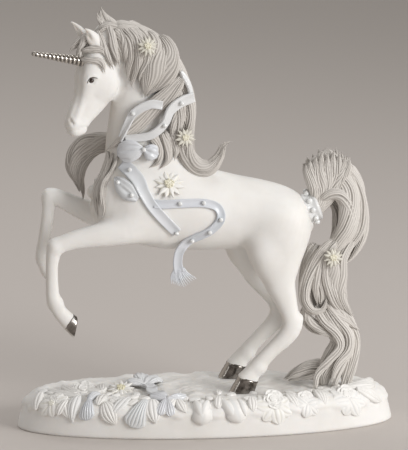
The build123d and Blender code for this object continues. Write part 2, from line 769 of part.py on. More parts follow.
def petals(centre, facing, radius):
    """A star of petals on a plane that looks along facing."""
    petal_half_length = radius * petal_half_length_share
    with BuildPart() as star:
        with BuildSketch(Plane(origin=centre, z_dir=facing).offset(-petal_half_thickness)):
            with PolarLocations(radius - petal_half_length, petal_count):
                Ellipse(petal_half_length, radius * petal_half_width_share)
            Circle(radius * petal_heart_share)
        extrude(amount=2 * petal_half_thickness)
    return star.part


def centre_domes(places):
    """A dome on the middle of each star, a film of slip above it."""
    with BuildPart() as domes:
        for centre, facing, radius in places:
            with Locations(Plane(origin=centre, z_dir=facing).offset(petal_half_thickness + slip_gap)):
                Sphere(radius * blossom_centre_share, arc_size1=0, align=ON_ITS_FLAT)
    return domes.part


BLOSSOMS = {
    "shoulder_blossom": (at(-19.7, -16.0, 107.4), Vector(0.05, -0.86, 0.51), shoulder_blossom_radius),
    "mane_blossom": (at(-11.4, -13.6, 130.5), Vector(0.1, -0.97, 0.2), small_blossom_radius),
    "crest_blossom": (at(-30.0, -14.6, 177.0), Vector(0, -0.96, 0.28), small_blossom_radius),
    "tail_blossom": (at(63.2, -11.4, 67.0), Vector(0, -0.98, 0.2), small_blossom_radius),
}
for name, (centre, facing, radius) in BLOSSOMS.items():
    seat(name, petals(centre, facing, radius))
keep("blossom_centres", centre_domes(BLOSSOMS.values()))

BASE_BLOSSOMS = [
    (rim(-154.0, 5.0), Vector(-0.45, -0.45, 0.77), relief_blossom_radius),
    (at(-43.0, -7.0, relief_blossom_lift), Vector(-0.1, -0.2, 0.97), relief_blossom_radius),
    (at(-62.0, -4.0, relief_blossom_lift), UPWARDS, relief_blossom_radius),
    (rim(-69.0, 4.0), Vector(0.15, -0.7, 0.7), relief_blossom_radius),
]
seat("base_blossoms", joined(*[petals(*place) for place in BASE_BLOSSOMS]), group=True)
keep("base_blossom_centres", centre_domes(BASE_BLOSSOMS))

# Ribbon folds that lie across the plinth between the leaves
BASE_RIBBON_LONG = [
    at(-24.0, 14.0, relief_ribbon_lift),
    at(-20.5, 2.0, relief_ribbon_lift),
    at(-22.5, -12.0, relief_ribbon_lift),
    at(-19.0, -19.0, relief_ribbon_lift),
    rim(-99.0, 9.5),
    rim(-98.0, 4.0),
]
BASE_RIBBON_BOW = [
    at(-69.0, -7.0, relief_ribbon_lift),
    at(-65.0, -12.5, relief_ribbon_lift),
    rim(-133.0, 9.5),
    rim(-134.0, 3.5),
]
folds = []
for route in (BASE_RIBBON_LONG, BASE_RIBBON_BOW):
    half_widths = [relief_ribbon_half_width] * len(route)
    folds.append(strip_loft(route, [UPWARDS] * len(route), relief_ribbon_half_thickness, half_widths))
seat("base_ribbon", joined(*folds), group=True)

# The castings get their hollows, pour holes and sockets last, when all that stands on them is known
pour_hole = rod(at(neck_axis_x, 0, trunk_axis_height), UPWARDS, pour_hole_radius, trunk_hole_depth)
trunk_vent = rod(at(trunk_vent_x, 0, trunk_axis_height), -UPWARDS, trunk_vent_radius, trunk_hole_depth)
trunk_hollow = limb(shrunk(TRUNK, body_wall))
pieces["trunk"] = cut(masses["trunk"], trunk_hollow, pour_hole, trunk_vent, *sockets["trunk"])
pieces["neck"] = cut(masses["neck"], limb(shrunk(NECK, body_wall)), *sockets["neck"])
pieces["head"] = cut(masses["head"], *sockets["head"])
plinth_vent = rod(Vector(0, 0, 0), UPWARDS, vent_radius, 2 * base_wall)
pieces["base_plinth"] = cut(plinth.part, plinth_hollow.part, plinth_vent, *sockets["base_plinth"])

os.makedirs("parts", exist_ok=True)
for name, part in pieces.items():
    part.label = name
    export_step(part, f"parts/{name}.step")
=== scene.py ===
import math

import bpy
import numpy as np
import openvdb
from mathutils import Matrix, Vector


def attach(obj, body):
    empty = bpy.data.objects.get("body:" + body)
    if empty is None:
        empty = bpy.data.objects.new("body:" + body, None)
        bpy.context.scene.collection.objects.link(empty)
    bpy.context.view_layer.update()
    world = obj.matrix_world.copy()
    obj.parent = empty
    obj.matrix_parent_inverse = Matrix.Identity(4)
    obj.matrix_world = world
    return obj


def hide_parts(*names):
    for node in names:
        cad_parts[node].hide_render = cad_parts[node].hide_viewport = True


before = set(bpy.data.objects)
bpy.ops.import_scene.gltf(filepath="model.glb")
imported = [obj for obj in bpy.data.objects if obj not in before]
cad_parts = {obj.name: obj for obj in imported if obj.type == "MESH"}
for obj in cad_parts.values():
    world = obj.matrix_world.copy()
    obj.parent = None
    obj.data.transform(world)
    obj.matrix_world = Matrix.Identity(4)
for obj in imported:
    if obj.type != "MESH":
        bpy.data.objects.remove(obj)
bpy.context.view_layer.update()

# Plinth: a hollow slip casting in white bisque, an oval with a plain foot and a rocky top.
# The lumps of the ground are carved in the mould, and the whole figure is stuck up on it.
plinth_half_length, plinth_half_depth, ground = 95.0, 34.0, 19.0
plinth_shoulder, end_slope = 9.0, 4.5
shoulder_foot = ground - plinth_shoulder
bisque_white = (0.84, 0.825, 0.80, 1)
bisque_warm = (0.77, 0.75, 0.715, 1)
# A warm taupe that the bisque takes as painted shade
bisque_blush = (0.62, 0.53, 0.42, 1)


def shader_of(name):
    """A new material, its node tree and its shader."""
    material = bpy.data.materials.new(name)
    material.use_nodes = True
    tree = material.node_tree
    return material, tree, tree.nodes["Principled BSDF"]


def grain(tree, scale, detail=4.0):
    """Noise in the object's own metres."""
    place = tree.nodes.new("ShaderNodeTexCoord")
    noise = tree.nodes.new("ShaderNodeTexNoise")
    noise.inputs["Scale"].default_value = scale
    noise.inputs["Detail"].default_value = detail
    noise.inputs["Roughness"].default_value = 0.6
    tree.links.new(place.outputs["Object"], noise.inputs["Vector"])
    return noise.outputs["Fac"]


def between(tree, share, low, high, from_low=0.3, from_high=0.7):
    """A colour that runs from low to high with the share."""
    ramp = tree.nodes.new("ShaderNodeValToRGB")
    ramp.color_ramp.elements[0].position = from_low
    ramp.color_ramp.elements[0].color = low
    ramp.color_ramp.elements[1].position = from_high
    ramp.color_ramp.elements[1].color = high
    tree.links.new(share, ramp.inputs["Fac"])
    return ramp.outputs["Color"]


def ranged(tree, share, low, high):
    """A number that runs from low to high with the share."""
    span = tree.nodes.new("ShaderNodeMapRange")
    span.inputs["From Min"].default_value = 0.25
    span.inputs["From Max"].default_value = 0.75
    span.inputs["To Min"].default_value = low
    span.inputs["To Max"].default_value = high
    tree.links.new(share, span.inputs["Value"])
    return span.outputs["Result"]


def painted(tree, name):
    """A value that the mesh carries from point to point."""
    carried = tree.nodes.new("ShaderNodeAttribute")
    carried.attribute_name = name
    return carried.outputs["Fac"]


def mixed(tree, share, first, second):
    """Two colours mixed by the share."""
    mix = tree.nodes.new("ShaderNodeMix")
    mix.data_type = "RGBA"
    tree.links.new(share, mix.inputs["Factor"])
    for socket, colour in ((mix.inputs[6], first), (mix.inputs[7], second)):
        if isinstance(colour, tuple):
            socket.default_value = colour
        else:
            tree.links.new(colour, socket)
    return mix.outputs[2]


def toothed(tree, shader, height, strength, distance):
    """Fine relief of the surface itself."""
    bump = tree.nodes.new("ShaderNodeBump")
    bump.inputs["Strength"].default_value = strength
    bump.inputs["Distance"].default_value = distance
    tree.links.new(height, bump.inputs["Height"])
    tree.links.new(bump.outputs["Normal"], shader.inputs["Normal"])


def coloured(tree, shader, tone, scale, smooth, rough):
    """The colour of a finish, and its roughness, which varies from place to place."""
    tree.links.new(tone, shader.inputs["Base Color"])
    tree.links.new(ranged(tree, grain(tree, scale), smooth, rough), shader.inputs["Roughness"])


bisque, tree, shader = shader_of("bisque")
clay = between(tree, grain(tree, 34), bisque_warm, bisque_white, 0.32, 0.62)
# Painted shade: the warm taupe is mixed in as far as the mesh carries painted shade
clay = mixed(tree, painted(tree, "blush"), clay, bisque_blush)
coloured(tree, shader, clay, 120, 0.5, 0.66)
toothed(tree, shader, grain(tree, 1900, 2.0), 0.12, 0.0002)
shader.inputs["Subsurface Weight"].default_value = 0.12
shader.inputs["Subsurface Radius"].default_value = (0.0016, 0.0013, 0.001)
shader.inputs["Subsurface Scale"].default_value = 1.0
shader.inputs["Specular IOR Level"].default_value = 0.4


def stick_up(name, points, faces, finish, slot, *nodes, **carried):
    """A fired piece from points in millimetres, with its finish and the solids that it stands for."""
    points = np.asarray(points, float)
    corner = points[[face[0] for face in faces]]
    fans = [(corner, points[[face[1] for face in faces]], points[[face[2] for face in faces]])]
    fans.append((corner, points[[face[2] for face in faces]], points[[face[-1] for face in faces]]))
    volume = sum(np.einsum("ij,ij->i", a, np.cross(b, c)).sum() for a, b, c in fans)
    if volume < 0:
        faces = [face[::-1] for face in faces]
    mesh = bpy.data.meshes.new(name)
    mesh.from_pydata((points * 0.001).tolist(), [], faces)
    for title, values in carried.items():
        layer = mesh.attributes.new(title, "FLOAT", "POINT")
        layer.data.foreach_set("value", np.asarray(values, np.float32).ravel())
    mesh.polygons.foreach_set("use_smooth", [True] * len(mesh.polygons))
    mesh.materials.append(finish)
    piece = bpy.data.objects.new(name, mesh)
    bpy.context.scene.collection.objects.link(piece)
    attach(piece, "root")
    if nodes:
        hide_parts(*nodes)


def tube_faces(rings, around):
    """Quads between rings of points, with a fan at each end onto the last two points."""
    step = np.arange(around)
    nxt = (step + 1) % around
    base = (np.arange(rings - 1) * around)[:, None]
    quads = np.stack([base + step, base + nxt, base + around + nxt, base + around + step], axis=-1)
    faces = [tuple(face) for face in quads.reshape(-1, 4).tolist()]
    first, last, end = rings * around, rings * around + 1, (rings - 1) * around
    faces += [(first, int(b), int(a)) for a, b in zip(step, nxt)]
    faces += [(last, int(end + a), int(end + b)) for a, b in zip(step, nxt)]
    return faces


def lumps(points, size, seed):
    """Soft rounded unevenness, from -1 to 1, of about that size in millimetres."""
    dice, waves = np.random.default_rng(seed), 14
    ways = dice.normal(size=(waves, 3))
    ways *= (2 * math.pi / size) * dice.uniform(0.6, 1.5, (waves, 1)) / np.linalg.norm(ways, axis=1)[:, None]
    return np.sin(points @ ways.T + dice.uniform(0, 6.3, waves)).sum(1) / 5.0


def drawn_in(x, z):
    """How far the sloping ends of the plinth lean in at a place."""
    return end_slope * z / ground * (x / plinth_half_length) ** 3


plinth_around, ground_rings = 288, 44
plain_foot, lump_fade = 5.0, 9.0
scallops, scallop_height, scallop_rise, scallop_edge = 15, 10.4, 2.6, 0.4
lip_top, lip_fade = 18.5, 3.0
turn = np.linspace(0, 2 * math.pi, plinth_around, endpoint=False)
profile = [(20.0, 0.0), (4.0, 0.0), (1.0, 0.0), (0.2, 0.5), (0.0, 1.4)]
profile += [(0.0, z) for z in np.linspace(2.5, shoulder_foot, 17)]
for a in np.linspace(5, 90, 18):
    lift = math.radians(a)
    profile.append((plinth_shoulder * (1 - math.cos(lift)), shoulder_foot + plinth_shoulder * math.sin(lift)))
rings = []
for inset, z in profile:
    rings.append((plinth_half_length - inset, plinth_half_depth - inset, z))
flat_length, flat_depth = plinth_half_length - plinth_shoulder, plinth_half_depth - plinth_shoulder
inwards = np.linspace(0.985, 0.04, ground_rings)
rings += [(flat_length * share, flat_depth * share, ground) for share in inwards]
plinth_points = np.concatenate(
    [np.stack([x * np.cos(turn), y * np.sin(turn), np.full(plinth_around, z)], axis=1) for x, y, z in rings]
)
plinth_points[:, 0] -= drawn_in(plinth_points[:, 0], plinth_points[:, 2])
# The lumps fade out towards the plain foot
height_share = np.clip((plinth_points[:, 2] - plain_foot) / lump_fade, 0, 1)
rocky = 0.75 * lumps(plinth_points, 17, 3) + 0.45 * np.abs(lumps(plinth_points, 8, 4)) - 0.2
rocky += 0.16 * lumps(plinth_points, 3.6, 5)
# The ground is smoother where the hind hooves and the tail stand
trodden = ((17, -15, 9), (14.7, 15, 9), (63, -3, 13))
feet = np.zeros(len(plinth_points))
for x, y, reach in trodden:
    off = (plinth_points[:, 0] - x) ** 2 + (plinth_points[:, 1] - y) ** 2
    feet = np.maximum(feet, np.exp(-(off / reach**2)))
plinth_points[:, 2] += height_share * (1 - 0.85 * feet) * (rocky - 0.25)
outward = np.stack([np.cos(turn) / plinth_half_length, np.sin(turn) / plinth_half_depth, 0 * turn], axis=1)
outward /= np.linalg.norm(outward, axis=1)[:, None]
belly = height_share * (plinth_points[:, 2] < 17) * 0.5 * rocky
around_all = np.tile(turn, len(rings))
# A scalloped lip stands out over the foot
bows = np.abs(np.sin(scallops * around_all + 1.2 * np.sin(3 * around_all)))
under_lip = (scallop_height + scallop_rise * bows - plinth_points[:, 2]) / scallop_edge
lip = np.clip((lip_top - plinth_points[:, 2]) / lip_fade, 0, 1) / (1 + np.exp(under_lip))
plinth_points += np.tile(outward, (len(rings), 1)) * (belly + lip)[:, None]
plinth_points = np.vstack([plinth_points, [[0, 0, 0.0]], [[0, 0, ground]]])
# The low places between the lumps of the ground carry painted shade in warm taupe.
stick_up(
    "plinth", plinth_points, tube_faces(len(rings), plinth_around), bisque, "bisque", "base_plinth",
    blush=0.18 * np.clip(-np.append(rocky, [0, 0]) - 0.1, 0, 1) * np.append(height_share, [0, 0]),
)

# Leaves on the plinth: ribbed leaves in relief, pressed in small moulds and stuck over the shoulder
# with slip while the casting is damp. Some of them have their ribs touched in with blue.
leaf_blue_grey = (0.56, 0.61, 0.65, 1)

relief, tree, shader = shader_of("tinted_relief")
clay = between(tree, grain(tree, 60), bisque_warm, bisque_white, 0.3, 0.6)
clay = mixed(tree, painted(tree, "groove"), clay, leaf_blue_grey)
coloured(tree, shader, clay, 150, 0.45, 0.62)
toothed(tree, shader, grain(tree, 1700, 2.0), 0.12, 0.0002)


def unit(vectors):
    """The same ways, each one long."""
    return vectors / np.maximum(np.linalg.norm(vectors, axis=-1, keepdims=True), 1e-9)


def together(forms):
    """Several forms as one piece."""
    points, faces, values, count = [], [], [], 0
    for form_points, form_faces, form_values in forms:
        points.append(form_points)
        faces += [tuple(i + count for i in face) for face in form_faces]
        values.append(form_values)
        count += len(form_points)
    return np.vstack(points), faces, np.concatenate(values)


def rim_skin(angle, run):
    """The plinth's skin at plan angles, that far down from the edge of the ground, and the way out."""
    lean = np.clip(run / plinth_shoulder, 0, math.pi / 2)
    inset = plinth_shoulder * (1 - np.sin(lean)) + np.maximum(-run, 0)
    z = shoulder_foot + plinth_shoulder * np.cos(lean) - np.maximum(run - plinth_shoulder * math.pi / 2, 0)
    c, s = np.cos(np.radians(angle)), np.sin(np.radians(angle))
    x = (plinth_half_length - inset) * c
    x = x - drawn_in(x, z)
    place = np.stack([x, (plinth_half_depth - inset) * s, z], axis=-1)
    level = unit(np.stack([c / plinth_half_length, s / plinth_half_depth, 0 * c], axis=-1))
    return place, np.sin(lean)[..., None] * level + np.cos(lean)[..., None] * np.array([0, 0, 1.0])


def ground_skin(x, y):
    """The plinth's flat ground at those places, and the way out."""
    return np.stack([x, y, np.full(x.shape, ground)], axis=-1), np.broadcast_to([0, 0, 1.0], x.shape + (3,))


def rim_pace(angle):
    """How many millimetres a degree of plan angle takes along the plinth's edge."""
    a = math.radians(angle)
    return math.hypot(plinth_half_length * math.sin(a), plinth_half_depth * math.cos(a)) * math.pi / 180


def pressed_leaf(skin, foot, tip, half_width, swell, ribs, rounded=0.0, depth=0.45, lift=0.9):
    """A ribbed leaf in relief from its foot to its tip, on the plinth's rim or on its ground."""
    pace = rim_pace(0.5 * (foot[0] + tip[0])) if skin is rim_skin else 1.0
    level, fall = (tip[0] - foot[0]) * pace, tip[1] - foot[1]
    length = math.hypot(level, fall)
    share = np.linspace(0, 1, 28)[:, None]
    swing = np.linspace(-1, 1, 8 * max(ribs, 2) + 1)[None, :]
    pointed = np.sin(math.pi * (0.1 + 0.9 * share)) ** 0.85
    blunt = np.minimum(1, 0.3 + 0.9 * share) * np.sqrt(1 - np.clip(4 * share - 3, 0, 1) ** 2)
    wide = half_width * ((1 - rounded) * pointed + rounded * blunt) * swing
    place, out = skin(
        foot[0] + (level * share - wide * fall / length) / pace,
        foot[1] + fall * share + wide * level / length,
    )
    body = np.sin(math.pi * (0.12 + 0.76 * share))
    lines = (0.5 + 0.5 * np.cos(math.pi * ribs * (swing + 1))) ** 3 * body
    face = place + out * (lift + swell * body * (1 - 0.8 * swing**2) - depth * lines)[..., None]
    ring = np.concatenate([face, (place - 0.8 * out)[:, ::-1]], axis=1)
    points = np.vstack([ring.reshape(-1, 3), ring[0].mean(0), ring[-1].mean(0)])
    groove = np.concatenate([lines, 0 * lines], axis=1)
    return points, tube_faces(len(share), ring.shape[1]), np.append(groove.ravel(), [0, 0])


# Foot and tip as plan angle and run down the rim, or as x and y on the ground, then half width, swell,
# ribs, how rounded the tip is and how blue the ribs are
rim_leaves = [
    ((-139.8, 1.2), (-136.8, 16.4), 3.4, 1.5, 3, 0.0, 0.3),
    ((-125.8, 5.8), (-120.3, 16.2), 4.4, 1.3, 5, 0.1, 0.05),
    ((-117.8, 1.0), (-122.0, 12.4), 3.4, 1.0, 3, 0.0, 0.35),
    ((-111.2, 3.6), (-114.8, 17.4), 5.8, 1.6, 6, 1.0, 0.8),
    ((-109.4, 3.0), (-107.2, 15.4), 4.6, 1.4, 4, 0.0, 0.15),
    ((-109.5, 6.0), (-103.4, 10.8), 2.8, 1.0, 3, 0.0, 0.15),
    ((-129.2, -2.0), (-128.0, 7.4), 3.0, 1.0, 3, 0.2, 0.1),
    ((-143.0, 5.5), (-144.2, 13.4), 2.8, 1.1, 3, 0.3, 0.0),
    ((-143.2, 7.0), (-138.6, 14.4), 2.6, 1.0, 3, 0.0, 0.0),
    ((-101.5, 1.8), (-105.0, 10.0), 2.4, 0.9, 3, 0.0, 0.0),
    ((-100.8, 3.0), (-98.0, 10.6), 2.4, 0.9, 3, 0.0, 0.0),
    ((-87.0, 1.0), (-88.2, 9.0), 2.6, 0.8, 3, 0.2, 0.0),
    ((-76.5, 2.0), (-77.4, 11.0), 2.8, 0.8, 3, 0.2, 0.0),
    ((-63.5, 1.0), (-62.6, 10.0), 2.8, 0.8, 3, 0.2, 0.0),
    ((-50.0, -1.0), (-52.0, 10.0), 3.4, 1.0, 4, 0.2, 0.0),
    ((-31.0, 4.0), (-20.0, 13.0), 4.0, 1.2, 4, 0.2, 0.0),
    ((-34.0, 0.0), (-10.0, 4.0), 3.8, 1.2, 4, 0.2, 0.0),
    ((-26.0, -4.0), (6.0, 2.0), 3.6, 1.2, 4, 0.2, 0.0),
    ((-166.0, 3.0), (-158.0, 12.5), 3.0, 0.9, 3, 0.2, 0.0),
]
ground_leaves = [
    ((-66.0, -17.0), (-80.0, -3.0), 3.4, 1.0, 4, 0.2, 0.1),
    ((-54.0, -10.0), (-63.0, -2.0), 3.4, 1.2, 4, 0.3, 0.15),
    ((-53.0, -9.0), (-52.0, 3.0), 3.2, 1.2, 4, 0.3, 0.1),
    ((-66.0, -12.0), (-72.0, 3.0), 3.4, 1.0, 4, 0.2, 0.05),
    ((70.0, -12.0), (79.0, -3.0), 3.2, 1.0, 4, 0.2, 0.0),
]
leaves, blue_leaf = [], []
for skin, places in ((rim_skin, rim_leaves), (ground_skin, ground_leaves)):
    for i, (foot, tip, half_width, swell, ribs, rounded, blue) in enumerate(places):
        lift = 0.8 + 0.12 * (i % 4)
        leaves.append(pressed_leaf(skin, foot, tip, half_width, swell, ribs, rounded, lift=lift))
        blue_leaf.append(np.full(len(leaves[-1][0]), blue))
# Small leaves strewn between the large ones
dice = np.random.default_rng(45)
for angle in np.concatenate([np.linspace(-168, -97, 34), np.linspace(-92, -14, 30)]):
    foot = (angle, dice.uniform(-7.0, 4.0))
    way = dice.uniform(0, 2 * math.pi)
    along, down = dice.uniform(4.0, 6.5), dice.uniform(4.0, 6.5)
    tip = (angle + along * math.cos(way) / rim_pace(angle), foot[1] + down * math.sin(way))
    half_width, swell = dice.uniform(1.6, 2.6), dice.uniform(0.4, 0.9)
    small = pressed_leaf(rim_skin, foot, tip, half_width, swell, 2, 0.3, 0.3, 0.5)
    leaves.append(small)
    blue_leaf.append(np.full(len(small[0]), dice.choice((0.0, 0.0, 0.1, 0.3)) if angle < -95 else 0.0))
leaf_points, leaf_faces, leaf_groove = together(leaves)
leaf_blue = np.clip(np.concatenate(blue_leaf) * (0.45 + 0.5 * leaf_groove), 0, 1)
stick_up("leaves", leaf_points, leaf_faces, relief, "bisque", "base_leaves", groove=leaf_blue)

# Buds and roses on the plinth: petals of clay, pressed flat for the buds and pinched into cups for the
# roses, stuck along the right half of the shoulder with slip and left white, with painted shade in their
# creases.
rose_layers = ((6, 0.1, 1.0, 0.16), (5, 0.05, 0.7, 0.4), (3, 0.0, 0.42, 0.9))


def rim(angle, inset):
    """A point of the plinth's skin at a plan angle, that far in from the edge."""
    a = math.radians(angle)
    x, y = (plinth_half_length - inset) * math.cos(a), (plinth_half_depth - inset) * math.sin(a)
    z = shoulder_foot + math.sqrt(plinth_shoulder**2 - max(plinth_shoulder - inset, 0) ** 2)
    return np.array([x - drawn_in(x, z), y, z])


def ball(centre, way_out, way_along, halves, rings=16, around=28):
    """A small rounded ball with half sizes along, across and out."""
    out = unit(np.asarray(way_out, float))
    along = unit(way_along - out * (np.asarray(way_along) @ out))
    side = np.cross(out, along)
    lift = np.linspace(-math.pi / 2, math.pi / 2, rings + 2)[1:-1, None]
    spin = np.linspace(0, 2 * math.pi, around, endpoint=False)[None, :]
    shape = [
        np.cos(lift) * np.cos(spin) * halves[0],
        np.cos(lift) * np.sin(spin) * halves[1],
        np.sin(lift) * halves[2] + 0 * spin,
    ]
    skin = sum(part[..., None] * way for part, way in zip(shape, (along, side, out))).reshape(-1, 3)
    skin = np.vstack([skin, -out * halves[2], out * halves[2]]) + centre
    return skin, tube_faces(rings, around), np.zeros(len(skin))


def petal(foot, way, out, length, width, cup):
    """A cupped petal that rises from its foot and rolls over at the lip, a shell of clay about 1 mm thick."""
    side = np.cross(out, way)
    rows, across = 12, 16
    share = np.linspace(0, 1, rows)[:, None]
    swing = np.linspace(-1, 1, across)[None, :]
    breadth = width * np.sqrt(np.clip(np.sin(math.pi * (0.16 + 0.76 * share)), 0, 1)) * swing
    climb = cup * length * (np.sin(1.7 * share) - 0.35 * share**4)
    climb = climb + 0.28 * width * swing**2 * (1 - 0.6 * share)
    reach = length * (share - 0.12 * share**2) * (1 - 0.16 * swing**2)
    face = foot + breadth[..., None] * side + climb[..., None] * out + reach[..., None] * way
    back = face - (0.55 * out + 0.35 * way)
    ring = np.concatenate([face, back[:, ::-1]], axis=1)
    points = np.vstack([ring.reshape(-1, 3), ring[0].mean(0), ring[-1].mean(0)])
    return points, tube_faces(rows, 2 * across), np.zeros(len(points))


def ways_of_flower(facing):
    """The way out of a flower and two ways across it."""
    out = unit(np.array(facing, float))
    first = unit(np.cross(out, (0.3, 0.2, 1.0)))
    return out, first, np.cross(out, first)


def rose(centre, facing, radius, seed):
    """Petals round a centre in layers: how many, where they begin, their length and how they cup."""
    dice = np.random.default_rng(seed)
    out, first, second = ways_of_flower(facing)
    core = (0.5 * radius, 0.5 * radius, 0.3 * radius)
    forms = [ball(centre + out * 0.12 * radius, out, first, core, 8, 16)]
    for petals, begin, length, cup in rose_layers:
        shift = dice.uniform(0, 6.3)
        for k in range(petals):
            a = shift + 2 * math.pi * (k + dice.uniform(-0.15, 0.15)) / petals
            way = first * math.cos(a) + second * math.sin(a)
            size = length * radius * dice.uniform(0.9, 1.08)
            foot = centre + way * begin * radius + out * 0.1 * radius
            forms.append(petal(foot, way, out, size, size * 0.62, cup))
    return together(forms)


def out_of_the_rim(angle, rise):
    """The way out of the plinth's shoulder at a plan angle."""
    a = math.radians(angle)
    level = unit(np.array([math.cos(a) / plinth_half_length, math.sin(a) / plinth_half_depth, 0]))
    return unit(level + np.array([0, 0, rise]))


def spread(middle, radius, petals, first_turn, half_width, swell, ribs, rounded, lift):
    """Petals pressed flat round a place on the plinth's rim."""
    pace = rim_pace(middle[0])
    forms = []
    for k in range(petals):
        a = first_turn + 2 * math.pi * k / petals
        tip = (middle[0] + radius * math.cos(a) / pace, middle[1] + radius * math.sin(a))
        raised = lift + 0.25 * (k % 2)
        forms.append(pressed_leaf(rim_skin, middle, tip, half_width, swell, ribs, rounded, 0.3, raised))
    return together(forms)


# Petals of the closed buds that hang over the edge: foot, tip, half width, swell, roundness and lift
bud_petals = [
    ((-93.0, 4.2), (-93.0, 16.4), 5.8, 3.2, 0.65, 0.5),
    ((-95.2, 5.0), (-92.0, 15.0), 3.4, 2.9, 0.3, 1.0),
    ((-91.0, 5.0), (-94.2, 13.6), 2.8, 2.9, 0.3, 1.2),
    ((-84.2, 4.0), (-81.4, 15.8), 6.2, 2.8, 0.4, 0.5),
    ((-86.6, 4.8), (-82.4, 13.8), 3.4, 2.6, 0.3, 0.9),
    ((-81.4, 4.6), (-79.8, 12.8), 2.8, 2.6, 0.3, 1.0),
]
buds = []
for foot, tip, half_width, swell, rounded, lift in bud_petals:
    buds.append(pressed_leaf(rim_skin, foot, tip, half_width, swell, 2, rounded, 0.1, lift))
# Roses sunk into the shoulder: plan angle, inset, radius and how far they look up
sunk_roses = [(-58.5, 3.4, 5.0, 0.6), (-39.5, 3.6, 5.6, 0.8)]
for i, (angle, inset, radius, rise) in enumerate(sunk_roses):
    out = out_of_the_rim(angle, rise)
    buds.append(rose(rim(angle, inset) - 0.8 * out, out, radius, 60 + i))
buds.append(spread((-39.5, 8.6), 9.4, 7, 0.4, 4.4, 0.8, 3, 0.35, 0.5))
buds.append(spread((-58.5, 9.0), 6.8, 6, 0.9, 3.6, 0.8, 3, 0.35, 0.5))
bud_points, bud_faces, bud_groove = together(buds)
# The creases of the buds and of the flat petals round the roses carry a faint blue-grey as painted shade.
stick_up("buds", bud_points, bud_faces, relief, "bisque", "base_shells", groove=0.25 * bud_groove)

# The animal: trunk, neck, head, legs and ears are cast apart, stuck together with slip and sponged
# until no seam is left, so the whole skin is one smooth form in matt white bisque.
# Stations of each limb: x, y, height above the ground, half size up and half size across
trunk = [
    (-56.0, 0, 101.0, 3.5, 3.0), (-54.8, 0, 100.8, 9.0, 7.5), (-51.5, 0, 100.0, 14.5, 11.5),
    (-46.0, 0, 98.5, 18.0, 15.0), (-36.0, 0, 96.5, 20.8, 18.0), (-20.0, 0, 94.0, 22.5, 19.0),
    (-4.0, 0, 91.5, 21.0, 19.0), (12.0, 0, 89.5, 19.0, 18.0), (25.0, 0, 88.5, 17.0, 18.0),
    (36.0, 0, 86.0, 16.0, 18.5), (44.0, 0, 83.0, 14.0, 16.5), (48.4, 0, 82.0, 9.8, 11.8),
    (50.6, 0, 81.6, 4.0, 5.0),
]
neck = [
    (-22.0, 0, 100.0, 23.0, 14.0), (-29.5, 0, 121.0, 20.5, 12.5), (-31.5, 0, 139.0, 16.5, 10.5),
    (-32.0, 0, 155.0, 13.8, 9.0), (-35.0, -0.7, 167.0, 12.0, 8.5), (-41.5, -1.8, 174.0, 10.5, 8.0),
    (-48.0, -2.8, 177.0, 8.5, 7.0),
]
head = [
    (-49.5, -2.4, 180.0, 5.5, 6.0), (-51.0, -2.8, 177.0, 7.5, 7.0), (-53.0, -3.2, 170.2, 9.0, 8.0),
    (-54.3, -3.9, 161.7, 10.7, 8.2), (-55.4, -4.6, 155.3, 10.5, 7.6), (-59.0, -6.4, 148.1, 8.3, 6.0),
    (-63.0, -8.1, 142.4, 6.8, 5.2), (-65.0, -9.0, 138.0, 5.9, 5.1), (-65.0, -9.05, 136.3, 5.1, 4.6),
]
near_foreleg = [
    (-27.0, -11.0, 88.5, 10.5, 6.0), (-39.2, -13.5, 84.7, 7.5, 6.0), (-49.2, -14.0, 82.9, 6.5, 5.4),
    (-59.3, -14.3, 81.3, 5.4, 4.6), (-69.3, -14.6, 79.3, 4.4, 3.9), (-76.0, -14.8, 76.0, 4.0, 3.7),
    (-77.8, -14.6, 68.7, 3.1, 3.0), (-77.9, -14.2, 57.4, 3.1, 2.9), (-77.2, -14.0, 49.7, 3.5, 3.3),
    (-73.9, -13.7, 43.0, 3.6, 3.3), (-69.5, -13.5, 38.0, 4.2, 3.8),
]
far_foreleg = [
    (-26.0, 8.0, 84.5, 8.5, 5.0), (-37.0, 11.0, 83.2, 7.6, 5.6), (-46.4, 13.0, 84.8, 6.8, 5.6),
    (-56.4, 13.0, 87.9, 6.0, 5.0), (-64.0, 13.0, 91.2, 5.0, 4.4), (-71.5, 13.0, 94.9, 4.3, 3.9),
    (-76.4, 13.0, 96.4, 4.0, 3.7), (-77.4, 13.0, 90.2, 3.2, 3.0), (-78.4, 13.0, 81.5, 3.1, 2.9),
    (-80.0, 13.0, 71.3, 3.2, 3.0), (-80.6, 13.0, 65.5, 3.6, 3.3), (-79.3, 13.0, 61.0, 3.5, 3.3),
    (-77.2, 13.0, 57.6, 4.0, 3.6),
]
near_hind_leg = [
    (35.5, -9.5, 86.0, 13.0, 7.0), (35.9, -11.5, 71.5, 12.3, 8.5), (36.0, -13.0, 57.0, 8.4, 6.8),
    (38.2, -14.0, 49.0, 6.2, 5.2), (41.0, -14.6, 40.0, 4.6, 4.0), (42.3, -14.9, 33.5, 5.1, 4.0),
    (38.8, -15.0, 27.4, 4.4, 3.7), (32.0, -15.0, 20.9, 3.7, 3.3), (25.5, -15.0, 13.8, 3.9, 3.6),
    (22.4, -15.0, 10.0, 4.2, 3.8), (20.0, -15.0, 6.4, 5.2, 4.4),
]
far_hind_leg = [
    (27.0, 9.5, 86.0, 13.0, 7.0), (25.5, 11.5, 71.5, 12.3, 8.5), (27.5, 13.0, 57.0, 8.4, 6.8),
    (31.5, 14.0, 49.0, 6.2, 5.2), (37.5, 14.6, 40.0, 4.6, 4.0), (39.7, 14.9, 33.5, 5.1, 4.0),
    (36.4, 15.0, 27.4, 4.4, 3.7), (29.7, 15.0, 20.9, 3.7, 3.3), (23.2, 15.0, 13.8, 3.9, 3.6),
    (20.1, 15.0, 10.0, 4.2, 3.8), (17.7, 15.0, 6.4, 5.2, 4.4),
]
